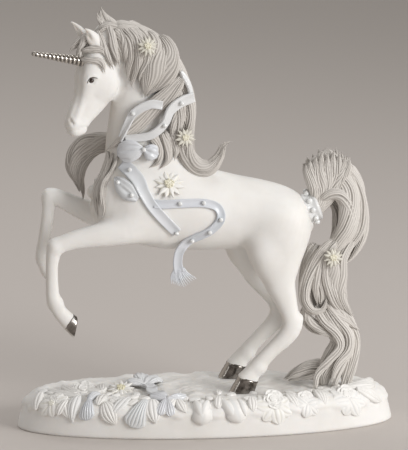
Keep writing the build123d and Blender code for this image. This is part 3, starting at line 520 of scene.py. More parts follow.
near_ear = [
    (-52.5, -8.5, 175.0, 3.0, 2.5), (-55.0, -9.4, 178.6, 3.6, 2.8), (-58.0, -10.2, 182.4, 2.8, 2.1),
    (-60.7, -11.0, 186.0, 0.5, 0.5),
]
far_ear = [
    (-57.0, -1.5, 175.0, 2.6, 2.2), (-59.8, -0.6, 179.5, 2.7, 2.3), (-63.0, 0.2, 183.5, 2.1, 1.7),
    (-66.6, 1.0, 187.3, 0.5, 0.5),
]
head_turn = math.radians(25)
sideways, head_lateral = (0, 1, 0), np.array([-math.sin(head_turn), math.cos(head_turn), 0.0])
# Each limb with its way across, the reach of the slip at its joint, and how square its section is
limbs = [
    (trunk, sideways, 1, 2), (neck, sideways, 7, 2), (head, head_lateral, 4, 2.8),
    (near_foreleg, sideways, 6, 2.2), (far_foreleg, sideways, 6, 2.2),
    (near_hind_leg, sideways, 8, 2.2), (far_hind_leg, sideways, 8, 2.2),
    (near_ear, head_lateral, 1.2, 2), (far_ear, head_lateral, 1.2, 2),
]
# Muscles and bones under the skin: centre, half sizes, lean of the long axis in the side view, softness
muscles = [
    ((-35, -11, 101), (8, 5.5, 13), 20, 5), ((-35, 11, 101), (8, 5.5, 13), 20, 5),
    ((-47.5, -7.5, 97), (5.5, 5, 11), 8, 2.5), ((-47.5, 7.5, 97), (5.5, 5, 11), 8, 2.5),
    ((38, -9, 82), (13, 9.5, 14), 0, 7), ((34, 9, 82), (13, 9.5, 14), 0, 7),
    ((28, -12.5, 70), (7, 6.5, 11), 12, 6), ((19, 12.5, 70), (7, 6.5, 11), 12, 6),
    ((45.2, -14.9, 36.2), (2.2, 2.4, 3.2), -30, 2), ((42.6, 14.9, 36.2), (2.2, 2.4, 3.2), -30, 2),
    ((-76.6, -14.7, 77.2), (3.6, 3.6, 3.9), 0, 2), ((-77.2, 13, 96.0), (3.6, 3.6, 3.9), 0, 2),
    ((-76.2, -14, 48.0), (3.7, 3.5, 3.2), 0, 2), ((-79.2, 13, 64.0), (3.6, 3.4, 3.2), 0, 2),
    ((25.8, -15, 12.2), (3.7, 3.6, 3.4), 0, 2), ((23.4, 15, 12.2), (3.7, 3.6, 3.4), 0, 2),
    ((-50.5, -8.6, 157.0), (6.0, 3.0, 7.0), 0, 3.0), ((-47.0, 2.6, 157.0), (5.6, 2.8, 6.6), 0, 3.0),
]
far_away, open_end = 1e3, -99


def drawn_out(stations, step):
    """Close stations on a smooth curve through the given ones."""
    rows = np.array(stations, float)
    rows = np.vstack([2 * rows[0] - rows[1], rows, 2 * rows[-1] - rows[-2]])
    close = []
    for i in range(1, len(rows) - 2):
        before, here, there, after = rows[i - 1 : i + 3]
        count = max(2, int(np.linalg.norm(there[:3] - here[:3]) / step))
        for t in np.linspace(0, 1, count, endpoint=False):
            bend = (2 * before - 5 * here + 4 * there - after) * t * t
            sway = (3 * here - before - 3 * there + after) * t**3
            close.append(0.5 * (2 * here + (there - before) * t + bend + sway))
    close.append(rows[-2])
    return np.array(close)


def crossways(points, lateral):
    """The way along, the way across and the way up at each point of a run."""
    along = unit(np.gradient(points, axis=0))
    lateral = np.broadcast_to(np.asarray(lateral, float), points.shape)
    across = unit(lateral - along * np.einsum("ij,ij->i", lateral, along)[:, None])
    return along, across, np.cross(along, across)


def softened(first, second, reach):
    """The nearer of two skins, with the slip between them smoothed over that reach."""
    h = np.clip(0.5 + 0.5 * (second - first) / reach, 0, 1)
    return second + (first - second) * h - reach * h * (1 - h)


def limb_distance(points, rows, lateral, square):
    """How far points are outside a limb of oval section, roughly, in millimetres."""
    nearest = np.full(len(points), far_away)
    ways = crossways(rows[:, :3], lateral)
    for i, (a, b) in enumerate(zip(rows[:-1], rows[1:])):
        from_a = (points - a[:3]) @ ways[0][i]
        to_b = (b[:3] - points) @ ways[0][i + 1]
        inside = (from_a >= (0 if i else open_end)) & (to_b >= (0 if i < len(rows) - 2 else open_end))
        inside &= (np.abs(points - (a[:3] + b[:3]) / 2) < rows[:, 3:].max() + 16).all(1)
        if not inside.any():
            continue
        near, before, after = points[inside], from_a[inside], to_b[inside]
        t = np.clip(before / np.maximum(before + after, 1e-6), 0, 1)
        t = np.where(before < 0, 0, np.where(after < 0, 1, t))[:, None]
        along, across, up = (unit(way[i] + t * (way[i + 1] - way[i])) for way in ways)
        off = near - a[:3] - t * (b[:3] - a[:3])
        high, wide = (a[k] + t[:, 0] * (b[k] - a[k]) for k in (3, 4))
        parts = [np.abs(np.einsum("ij,ij->i", off, way)) for way in (across, up, along)]
        halves = (wide, high, np.minimum(wide, high))
        full = sum((part / half) ** square for part, half in zip(parts, halves)) ** (1 / square)
        steep = np.sqrt(sum((part / half**2) ** 2 for part, half in zip(parts, halves))) + 1e-9
        nearest[inside] = np.minimum(nearest[inside], full * (full - 1) / steep)
    return nearest


limb_rows = []
for stations, lateral, reach, square in limbs:
    rows = drawn_out([(x, y, z + ground, depth, width) for x, y, z, depth, width in stations], 2.6)
    span = rows[:, 3:].max(1)[:, None] + 14
    box = ((rows[:, :3] - span).min(0), (rows[:, :3] + span).max(0))
    limb_rows.append((rows, np.array(lateral, float), reach, square, *box))
head_rows = limb_rows[2][0]

# Lines drawn into the skin: points, half width and depth, with a depth below nothing for a raised line
strokes = []


def skin_distance(points):
    """How far points are outside the animal's skin."""
    field = np.full(len(points), far_away)
    for rows, lateral, reach, square, low, high in limb_rows:
        inside = ((points > low) & (points < high)).all(1)
        field[inside] = softened(limb_distance(points[inside], rows, lateral, square), field[inside], reach)
    for centre, halves, lean, reach in muscles:
        off = points - np.array([centre[0], centre[1], centre[2] + ground])
        close = (np.abs(off) < max(halves) + reach + 4).all(1)
        off = off[close]
        c, s = math.cos(math.radians(lean)), math.sin(math.radians(lean))
        turned = np.stack([c * off[:, 0] + s * off[:, 2], off[:, 1], c * off[:, 2] - s * off[:, 0]], axis=1)
        full = np.linalg.norm(turned / halves, axis=1)
        steep = np.linalg.norm(turned / np.square(halves), axis=1) + 1e-9
        field[close] = softened(full * (full - 1) / steep, field[close], reach)
    for line, width, depth in strokes:
        close = ((points > line.min(0) - 4 * width) & (points < line.max(0) + 4 * width)).all(1)
        near = points[close]
        gap = np.full(len(near), far_away)
        for a, b in zip(line[:-1], line[1:]):
            t = np.clip((near - a) @ (b - a) / max((b - a) @ (b - a), 1e-9), 0, 1)
            gap = np.minimum(gap, np.linalg.norm(near - a - t[:, None] * (b - a), axis=1))
        field[close] += depth * np.exp(-((gap / width) ** 2))
    return field


def settled(points, proud=0.0):
    """Points moved square to the skin until they stand that far proud of it."""
    points = np.atleast_2d(np.array(points, float)).copy()
    nudge = 0.2
    for _ in range(6):
        field = skin_distance(points)
        slopes = [skin_distance(points + np.eye(3)[k] * nudge) - field for k in range(3)]
        slope = np.stack(slopes, axis=1) / nudge
        size = np.maximum(np.einsum("ij,ij->i", slope, slope), 0.2)
        points -= slope * ((field - proud) / size)[:, None]
    return points, unit(slope)


def mirrored(point):
    """The same place on the other side of the face."""
    middle = head_rows[np.argmin(np.linalg.norm(head_rows[:, :3] - point, axis=1)), :3]
    return point - 2 * head_lateral * ((point - middle) @ head_lateral)


eye_near = settled([-57.6, -12.0, 159.9 + ground])[0][0]
eye_far = settled([mirrored(eye_near)])[0][0]
nostril_near = settled([-67.6, -13.0, 139.6 + ground])[0][0]
nostril_far = settled([mirrored(nostril_near)])[0][0]

# The skin is cast on a lattice, and sponged smooth
voxel, skin_reach = 1.1, 20.0
skin_low, skin_high = np.array([-90.0, -34.0, 18.0]), np.array([62.0, 34.0, 212.0])
axes = [np.arange(skin_low[k], skin_high[k], voxel) for k in range(3)]
lattice = np.stack(np.meshgrid(*axes, indexing="ij"), axis=-1).reshape(-1, 3)
depths = np.clip(skin_distance(lattice), -skin_reach, skin_reach).reshape([len(axis) for axis in axes])
volume = openvdb.FloatGrid(background=skin_reach)
volume.copyFromArray(depths.astype(np.float32))
cast_points, cast_quads = volume.convertToQuads(isovalue=0.0)
draft = bpy.data.meshes.new("skin_draft")
draft.from_pydata((cast_points * voxel + skin_low).tolist(), [], cast_quads.tolist())
draft_object = bpy.data.objects.new("skin_draft", draft)
bpy.context.scene.collection.objects.link(draft_object)
finer = draft_object.modifiers.new("finer", "SUBSURF")
finer.levels = 1
sponged = bpy.data.meshes.new_from_object(draft_object.evaluated_get(bpy.context.evaluated_depsgraph_get()))
bpy.data.objects.remove(draft_object)

skin_points = np.empty(len(sponged.vertices) * 3, np.float32)
sponged.vertices.foreach_get("co", skin_points)
skin_points = skin_points.reshape(-1, 3).astype(float)
skin_faces = [tuple(face.vertices) for face in sponged.polygons]

# Drawn into the clay: eye sockets and lids, nostrils, the mouth, and the hollows of the ears
for eye in (eye_near, eye_far):
    strokes.append((np.array([eye, eye + 0.01]), 2.3, 0.8))
    brow = eye + np.array([[-2.2, 0, 0.2], [-1.2, 0, 1.9], [0.8, 0, 2.3], [3.0, 0, 1.5]])
    strokes.append((settled(brow)[0], 0.8, -0.55))
    lower = eye + np.array([[-1.6, 0, -1.5], [0.2, 0, -2.0], [2.0, 0, -1.2]])
    strokes.append((settled(lower)[0], 0.7, -0.3))
# The flat of the nose is set off from the side of the face, and the cheek from the jaw
plane_edge = [[-62.0, -9.8, 167.0], [-62.8, -10.8, 157.0], [-64.8, -12.2, 147.0], [-66.4, -12.8, 142.5]]
plane_edge = np.array(plane_edge) + (0, 0, ground)
cheek_edge = [[-56.0, -12.0, 151.5], [-60.0, -12.2, 148.0], [-63.2, -12.8, 141.0]]
cheek_edge = np.array(cheek_edge) + (0, 0, ground)
for turned in (False, True):
    for line, width, depth in ((plane_edge, 1.5, 0.55), (cheek_edge, 1.6, 0.35)):
        line = np.array([mirrored(point) for point in line]) if turned else line
        strokes.append((settled(line)[0], width, depth))
for nostril in (nostril_near, nostril_far):
    wing = nostril + np.array([[-0.7, 0, 1.1], [0.2, 0, -0.2], [1.2, 0, -0.9]])
    strokes.append((settled(wing)[0], 0.75, 1.2))
lips = np.array([[-69.4, -11.6, 135.2], [-67.0, -13.4, 135.0], [-64.4, -13.6, 135.8]]) + (0, 0, ground)
for line in (lips, np.array([mirrored(point) for point in lips])):
    strokes.append((settled(line)[0], 0.5, 0.32))
for ear in (near_ear, far_ear):
    hollow = np.array([(x - 1.2, y - 1.0, z + ground + 0.2) for x, y, z, _, _ in ear])
    strokes.append((drawn_out(np.hstack([hollow, np.zeros((4, 2))]), 1.0)[2:, :3], 1.25, 1.5))
sponged.calc_loop_triangles()
normals = np.empty(len(skin_points) * 3, np.float32)
sponged.vertex_normals.foreach_get("vector", normals)
normals = normals.reshape(-1, 3).astype(float)
for _ in range(3):
    skin_points -= normals * np.clip(skin_distance(skin_points), -1.2, 1.2)[:, None]
bpy.data.meshes.remove(sponged)
# Painted shade in warm taupe on what faces forward, away from the key light,
# in the hollows of the ears and in the nostrils
blush = 0.32 * np.clip(-normals[:, 0] - 0.25, 0, 1)
for line, _, _ in strokes[-2:]:
    hollow = np.min([np.linalg.norm(skin_points - spot, axis=1) for spot in line], axis=0)
    blush = np.maximum(blush, 0.4 * np.exp(-((hollow / 1.8) ** 2)))
for nostril in (nostril_near, nostril_far):
    blush = np.maximum(blush, 0.9 * np.exp(-((np.linalg.norm(skin_points - nostril, axis=1) / 1.1) ** 2)))
stick_up(
    "animal", skin_points, skin_faces, bisque, "bisque", "trunk", "neck", "head", "near_foreleg",
    "far_foreleg", "near_hind_leg", "far_hind_leg", "near_ear", "far_ear", blush=blush,
)

# Eyes: small balls of clay set into the sockets, with a fine rolled lash line along the upper lid.
# Both are painted in dark brown enamel with a glossy glaze.
eye_half_sizes = (1.5, 1.2, 1.0)
lid_line = np.array([[-2.0, 0, -1.1], [-1.5, 0, 0.4], [-0.2, 0, 1.4], [1.6, 0, 1.5], [3.0, 0, 1.2]])
lash_radius, lash_shares = 0.26, (0.5, 1.0, 1.2, 0.9, 0.3)
enamel_dark, enamel_brown = (0.012, 0.008, 0.006, 1), (0.05, 0.028, 0.016, 1)
enamel, tree, shader = shader_of("eye_enamel")
brown = between(tree, grain(tree, 900), enamel_dark, enamel_brown, 0.35, 0.65)
coloured(tree, shader, brown, 500, 0.08, 0.16)
shader.inputs["Coat Weight"].default_value = 0.8


def wrapped(points, across, up, wide, high):
    """The skin round a run of points, with a point at each end."""
    skin = points[:, None] + wide[..., None] * across[:, None] + high[..., None] * up[:, None]
    return np.vstack([skin.reshape(-1, 3), points[:1], points[-1:]])


def grooved(rows, lateral, ridges, depth, seed, partings, parting_depth, around, wander=0.5):
    """A form drawn along its stations (x, y, z, half up, half across) with combed grooves that wander."""
    dice = np.random.default_rng(seed)
    points, half_up, half_across = rows[:, :3], np.abs(rows[:, 3]), np.abs(rows[:, 4])
    _, across, up = crossways(points, lateral)
    theta = np.linspace(0, 2 * math.pi, around, endpoint=False)[None, :]
    share = np.linspace(0, 1, len(rows))[:, None]
    warp = theta + 0.32 * np.sin(2 * theta + dice.uniform(0, 6.3))
    warp = warp + 0.16 * np.sin(3 * theta + dice.uniform(0, 6.3))
    drift = wander * np.sin(2 * math.pi * share * dice.uniform(0.5, 1.1) + dice.uniform(0, 6.3))
    fine = (0.5 + 0.5 * np.cos(ridges * (warp + 0.3 * drift))) ** 3
    broad = (0.5 + 0.5 * np.cos(partings * (theta + drift) + dice.uniform(0, 6.3))) ** 7
    strength = dice.uniform(0.5, 1.0)
    strength = strength + 0.3 * np.sin(2 * math.pi * share * 1.7 + theta * 2 + dice.uniform(0, 6.3))
    sink = depth * fine * np.clip(strength, 0.3, 1.2) + parting_depth * broad
    sink = np.minimum(sink, 0.45 * np.minimum(half_up, half_across)[:, None])
    wide = np.cos(theta) * (half_across[:, None] - sink)
    high = np.sin(theta) * (half_up[:, None] - sink)
    skin = wrapped(points, across, up, wide, high)
    groove = np.append(np.clip(0.75 * fine + broad, 0, 1).ravel(), [0.3, 0.0])
    return skin, tube_faces(len(rows), around), groove


for name, eye in (("near_eye", eye_near), ("far_eye", eye_far)):
    place, out = settled([eye], -0.25)
    iris = ball(place[0], out[0], np.array([-0.5, -0.25, -0.35]), eye_half_sizes)
    lid = settled(eye + lid_line, 0.1)[0]
    halves = [lash_radius * share for share in lash_shares]
    lash = drawn_out([[*spot, half, half] for spot, half in zip(lid, halves)], 0.3)
    lash = grooved(lash, out[0], ridges=2, depth=0.0, seed=1, partings=1, parting_depth=0.0, around=12)
    points, faces, _ = together([iris, lash])
    stick_up(name, points, faces, enamel, "bisque")

# Hooves: part of the leg castings, covered with bright platinum lustre in a third firing.
# The wall flares from the coronet to the sole, with a split between the heels.
platinum_light, platinum_dark = (0.38, 0.355, 0.33, 1), (0.075, 0.066, 0.058, 1)
# A pale platinum used for painted highlights
platinum_bright = (0.86, 0.82, 0.76, 1)
platinum, tree, shader = shader_of("platinum_lustre")
lustre = between(tree, grain(tree, 260), platinum_dark, platinum_light)
# Painted highlights: the pale platinum is mixed in where the mesh carries them
lustre = mixed(tree, painted(tree, "bright"), lustre, platinum_bright)
coloured(tree, shader, lustre, 420, 0.1, 0.22)
toothed(tree, shader, grain(tree, 700, 2.0), 0.08, 0.0003)
shader.inputs["Metallic"].default_value = 1.0
raised, raised_sole = (0.83, 0, -0.55), (0.98, 0, -0.18)
standing, standing_sole = (-0.3, 0, -0.95), (0, 0, -1)
# The leg's last station, the way the leg ends, the middle of the sole, its facing and its half sizes
hooves = {
    "near_fore_hoof": (near_foreleg[-1], raised, (-66.2, -13.2, 35.0), raised_sole, (5.5, 3.9)),
    "far_fore_hoof": (far_foreleg[-1], raised, (-74.0, 13.0, 55.4), raised_sole, (5.2, 3.8)),
    "near_hind_hoof": (near_hind_leg[-1], standing, (17.0, -15.0, 0.0), standing_sole, (6.6, 5.0)),
    "far_hind_hoof": (far_hind_leg[-1], standing, (14.7, 15.0, 0.0), standing_sole, (6.6, 5.0)),
}
hoof_around, hoof_shares = 64, (-0.1, 0.0, 0.04, 0.1, 0.25, 0.4, 0.55, 0.7, 0.85, 0.95, 1.0)
across, toe_turn = np.array([0.0, 1.0, 0.0]), 5.9
for name, ((x, y, z, depth, width), facing, sole, sole_facing, sole_halves) in hooves.items():
    top, foot = np.array([x, y, z + ground]), np.array([sole[0], sole[1], sole[2] + ground])
    theta = np.linspace(0, 2 * math.pi, hoof_around, endpoint=False)
    rings = []
    for share in hoof_shares:
        way = unit((1 - share) * np.array(facing, float) + share * np.array(sole_facing, float))
        front = np.cross(across, way)
        coronet = 0.3 * math.exp(-(((share - 0.04) / 0.06) ** 2))
        long_half = depth + share * (sole_halves[0] - depth) + coronet
        wide_half = width + share * (sole_halves[1] - width) + coronet
        swell = 1 - 0.02 * np.sin(share * 22) - (0.04 if share == 1.0 else 0.0)
        cleft = 1 - 0.22 * share * np.exp(-(((np.abs(theta - math.pi)) / 0.22) ** 2))
        toe_to_heel = np.outer(np.cos(theta) * long_half * swell * cleft, front)
        side_to_side = np.outer(np.sin(theta) * wide_half * swell, across)
        rings.append(top + share * (foot - top) + toe_to_heel + side_to_side)
    points = np.vstack(rings + [top - np.array(facing) * 0.5, foot - np.array(sole_facing) * 0.8])
    # A painted highlight streak runs down the toe of each hoof, a little towards the near side.
    painted_streak = np.exp(-((np.cos(np.tile(theta, len(rings)) - toe_turn) - 1) ** 2) / 0.002)
    faces, bright = tube_faces(len(rings), hoof_around), np.append(0.8 * painted_streak, [0, 0])
    stick_up(name, points, faces, platinum, "platinum_lustre", name, bright=bright)

# Horn: rolled as a two-stranded twist of clay, let into the forehead with a peg, and covered with
# the same platinum lustre as the hooves.
horn_root, horn_way = np.array([-60.5, -6.7, 168.4 + ground]), unit(np.array([-26.0, -12.1, 6.8]))
horn_length, horn_root_radius, horn_tip_radius, horn_turns = 30.0, 2.9, 1.2, 6.5
horn_rings, horn_around = 150, 40
side = unit(np.cross(horn_way, sideways))
lift = np.cross(horn_way, side)
spin = np.linspace(0, 2 * math.pi, horn_around, endpoint=False)
rings, ridges = [], []
for share in np.linspace(-0.06, 1, horn_rings):
    radius = horn_root_radius + (horn_tip_radius - horn_root_radius) * max(share, 0)
    swell = 1 - 0.24 * np.abs(np.cos(spin - 2 * math.pi * horn_turns * share)) ** 4
    # The ridges of the twist carry a painted highlight in pale platinum.
    ridges.append(np.clip((swell - 0.9) / 0.1, 0, 1))
    middle = horn_root + horn_way * horn_length * share
    wide, high = np.cos(spin) * radius * swell, np.sin(spin) * radius * swell
    rings.append(middle + np.outer(wide, side) + np.outer(high, lift))
points = np.vstack(rings + [horn_root - horn_way * 2.0, horn_root + horn_way * (horn_length + 0.3)])
bright = np.append(0.75 * np.concatenate(ridges), [0, 0])
faces = tube_faces(horn_rings, horn_around)
stick_up("horn_spiral", points, faces, platinum, "platinum_lustre", "horn", bright=bright)

# Mane: locks of clay rolled and combed by hand, laid on the crest and the side of the neck from the
# lowest layer up. They are fired matt and dry-brushed in taupe grey, darker in the combed grooves.
hair_ridge, hair_middle, hair_groove = (0.76, 0.725, 0.68, 1), (0.62, 0.59, 0.55, 1), (0.36, 0.335, 0.307, 1)
hair_painted_shade = (0.30, 0.27, 0.245, 1)
hair, tree, shader = shader_of("combed_hair")
depth_of_groove = painted(tree, "groove")
tone = between(tree, depth_of_groove, hair_ridge, hair_groove, 0.0, 1.0)
tone = mixed(tree, ranged(tree, grain(tree, 90), 0.0, 0.4), tone, hair_middle)
# Painted shade: whole pieces of hair are darkened towards a deeper taupe by their shade value
tone = mixed(tree, painted(tree, "shade"), tone, hair_painted_shade)
coloured(tree, shader, tone, 240, 0.5, 0.7)
toothed(tree, shader, grain(tree, 1500, 3.0), 0.18, 0.0003)

# Stations of each lock, as for the limbs
mane = {
    "crest_mane": [
        (-49.5, -2.8, 182.5, 4.5, 6.5), (-41.0, -2.5, 182.5, 5.5, 8.0), (-30.5, -2.5, 177.5, 6.5, 9.5),
        (-21.5, -2.5, 168.0, 7.0, 10.0), (-16.0, -2.0, 155.0, 8.0, 10.0), (-12.5, -2.0, 140.0, 8.5, 10.0),
        (-9.0, -1.5, 125.0, 8.0, 9.0), (-4.0, -1.0, 115.0, 6.0, 7.0),
    ],
    "poll_flick": [
        (-45.5, -3.5, 183.0, 4.6, 4.2), (-49.5, -3.8, 187.5, 3.6, 3.2), (-51.6, -4.0, 191.5, 2.2, 2.0),
        (-52.4, -4.2, 195.8, 0.5, 0.5),
    ],
    "arched_lock": [
        (-38.0, -5.0, 185.5, 3.0, 2.4), (-32.4, -11.8, 180.5, 3.5, 2.6), (-31.9, -12.3, 173.3, 3.5, 2.5),
        (-34.4, -10.6, 165.7, 2.8, 2.1), (-35.4, -9.6, 160.6, 0.8, 0.8),
    ],
    "hooked_lock": [
        (-42.5, -5.5, 185.5, 3.0, 2.4), (-38.4, -10.8, 180.0, 3.2, 2.5), (-37.6, -11.0, 171.7, 2.6, 2.2),
        (-38.9, -9.8, 163.0, 2.0, 1.8), (-37.4, -9.0, 156.8, 0.7, 0.7),
    ],
    "throat_lock": [
        (-46.3, -7.5, 184.0, 3.0, 2.4), (-42.8, -10.2, 178.4, 3.2, 2.4), (-41.3, -10.2, 172.7, 2.4, 2.0),
        (-41.8, -9.2, 167.0, 0.6, 0.6),
    ],
    "cheek_lock": [
        (-50.8, -8.2, 181.0, 2.8, 2.2), (-48.8, -9.4, 176.0, 3.0, 2.2), (-46.8, -9.0, 169.7, 2.2, 1.9),
        (-45.3, -8.0, 164.0, 0.6, 0.6),
    ],
    "broad_lock": [
        (-23.5, -6.0, 180.0, 4.0, 2.6), (-20.5, -11.8, 173.0, 6.5, 2.8), (-23.0, -12.8, 164.5, 8.5, 2.8),
        (-28.0, -11.4, 156.5, 6.0, 2.4), (-30.8, -10.2, 150.0, 1.2, 1.0),
    ],
    "rear_lock": [
        (-14.2, -8.0, 162.2, 3.0, 2.6), (-11.0, -8.8, 155.5, 3.5, 3.0), (-9.0, -9.0, 145.7, 4.0, 3.2),
        (-9.2, -9.0, 135.5, 4.0, 3.2), (-11.4, -9.0, 127.8, 3.0, 2.6),
    ],
    "shoulder_lock": [
        (-12.0, -11.5, 160.3, 3.0, 2.4), (-19.0, -12.2, 152.2, 4.5, 2.7), (-28.0, -11.4, 144.2, 4.5, 2.5),
        (-36.5, -11.0, 135.0, 4.0, 2.3), (-45.0, -8.4, 127.2, 3.0, 2.0), (-51.0, -4.5, 122.0, 1.0, 1.0),
    ],
    "wither_lock": [
        (-11.0, -9.5, 129.5, 4.0, 3.4), (-9.8, -9.5, 121.8, 4.8, 4.0), (-5.0, -9.5, 115.0, 5.0, 4.2),
        (1.2, -9.3, 114.2, 4.2, 3.8), (6.0, -9.0, 119.2, 3.0, 2.8), (8.6, -9.0, 125.0, 2.1, 2.0),
        (13.1, -9.0, 127.0, 0.7, 0.7),
    ],
    "under_bow_lock": [
        (-27.5, -12.2, 131.6, 3.0, 2.2), (-24.5, -12.6, 125.0, 3.2, 2.2), (-25.0, -13.2, 119.0, 2.5, 2.0),
        (-29.6, -13.4, 115.6, 0.7, 0.7),
    ],
    "far_mane_lock": [
        (-45.4, 8.5, 125.4, 5.0, 3.2), (-53.9, 11.0, 124.0, 6.0, 3.4), (-61.0, 12.0, 119.6, 6.2, 3.4),
        (-64.6, 12.0, 112.0, 5.0, 3.2), (-62.6, 11.5, 104.2, 3.4, 2.6), (-61.0, 11.0, 98.0, 2.6, 2.2),
        (-60.6, 11.0, 93.6, 1.0, 1.0),
    ],
    "far_arched_lock": [
        (-38.0, 0.0, 185.5, 3.0, 2.4), (-32.4, 6.8, 180.5, 3.5, 2.6), (-31.9, 8.0, 173.3, 3.5, 2.5),
        (-34.4, 8.6, 165.7, 2.8, 2.1), (-35.4, 9.0, 160.6, 0.8, 0.8),
    ],
    "far_broad_lock": [
        (-25.5, 1.0, 178.0, 4.0, 2.6), (-22.5, 7.4, 170.5, 5.0, 2.8), (-24.0, 8.6, 162.0, 6.0, 2.6),
        (-27.5, 9.8, 155.5, 5.0, 2.2), (-30.5, 10.0, 149.9, 1.2, 1.0),
    ],
    "far_shoulder_lock": [
        (-15.5, 7.5, 159.0, 3.0, 2.4), (-20.0, 8.8, 152.2, 4.5, 2.7), (-28.0, 10.4, 144.2, 4.5, 2.5),
        (-36.5, 11.0, 135.0, 4.0, 2.3), (-42.0, 10.0, 128.5, 2.0, 1.6),
    ],
    "forelock": [
        (-50.0, -4.0, 184.0, 2.6, 3.2), (-56.0, -5.6, 181.0, 2.2, 3.0), (-60.3, -6.9, 175.8, 1.8, 2.6),
        (-62.2, -7.5, 171.8, 0.8, 1.4),
    ],
}
comb_pitch, comb_depth, comb_wander = 1.25, 0.5, 0.5


def combed(rows, seed):
    """A lock drawn along its stations, with the even lines of a fine comb and a few deeper partings."""
    dice = np.random.default_rng(seed)
    points, half_up, half_across = rows[:, :3], np.abs(rows[:, 3]), np.abs(rows[:, 4])
    _, across, up = crossways(points, sideways)
    girth = math.pi * (half_up + half_across).max()
    lines = int(np.clip(girth / comb_pitch, 5, 48))
    around = 6 * lines
    theta = np.linspace(0, 2 * math.pi, around, endpoint=False)[None, :]
    share = np.linspace(0, 1, len(rows))[:, None]
    drift = comb_wander * np.sin(2 * math.pi * share * dice.uniform(0.5, 1.2) + dice.uniform(0, 6.3))
    phase = lines * (theta + drift) / (2 * math.pi)
    phase = phase + 0.18 * np.sin(9 * share + 3 * theta + dice.uniform(0, 6.3))
    strength = dice.uniform(0.55, 1.0, lines)
    strength[dice.choice(lines, max(1, lines // 5), replace=False)] = 1.7
    groove = (0.5 + 0.5 * np.cos(2 * math.pi * phase)) ** 1.5 * strength[np.rint(phase).astype(int) % lines]
    sink = np.minimum(comb_depth * groove, 0.4 * np.minimum(half_up, half_across)[:, None])
    swell = 1 + 0.05 * np.sin(2 * theta + 5 * share + dice.uniform(0, 6.3))
    wide = np.cos(theta) * (half_across[:, None] * swell - sink)
    high = np.sin(theta) * (half_up[:, None] * swell - sink)
    skin = wrapped(points, across, up, wide, high)
    return skin, tube_faces(len(rows), around), np.append(np.clip(groove, 0, 1).ravel(), [0.3, 0.0])


def tress(stations, seed, strands):
    """A lock of strands that wind about each other and come to a point one after another."""
    dice = np.random.default_rng(seed)
    rows = drawn_out([(x, y, z + ground, high, wide) for x, y, z, high, wide in stations], 0.8)
    _, across, up = crossways(rows[:, :3], sideways)
    share = np.linspace(0, 1, len(rows))
    reach = 0.0 if strands == 1 else 0.36
    start = dice.uniform(0, 6.3)
    wind = dice.choice((-1, 1)) * dice.uniform(0.8, 1.6)
    forms = []
    for k in range(strands):
        angle = start + 2 * math.pi * (k + dice.uniform(-0.15, 0.15)) / strands + wind * share
        off = np.stack([np.cos(angle) * rows[:, 4] * reach, np.sin(angle) * rows[:, 3] * reach], axis=1)
        path = rows[:, :3] + off[:, :1] * across + off[:, 1:] * up
        length = 1.0 if k == 0 else dice.uniform(0.86, 1.0)
        count = max(8, int(len(rows) * length))
        along = np.linspace(0, 1, count)
        taper = (1 - along**6) * np.minimum(1, 0.5 + 6 * along) + 0.05
        thick = 0.98 if strands == 1 else dice.uniform(0.6, 0.68)
        strand = np.hstack([path[:count], rows[:count, 3:] * (thick * taper)[:, None]])
        forms.append(combed(strand, seed * 31 + k))
    return forms


def comb(name, locks, seed, node, strands, shade):
    """One or more locks of hair as a piece, through stations above the ground."""
    forms = [form for i, lock in enumerate(locks) for form in tress(lock, seed + 7 * i, strands)]
    points, faces, groove = together(forms)
    stick_up(name, points, faces, hair, "hair", node, groove=groove, shade=np.full(len(points), shade))


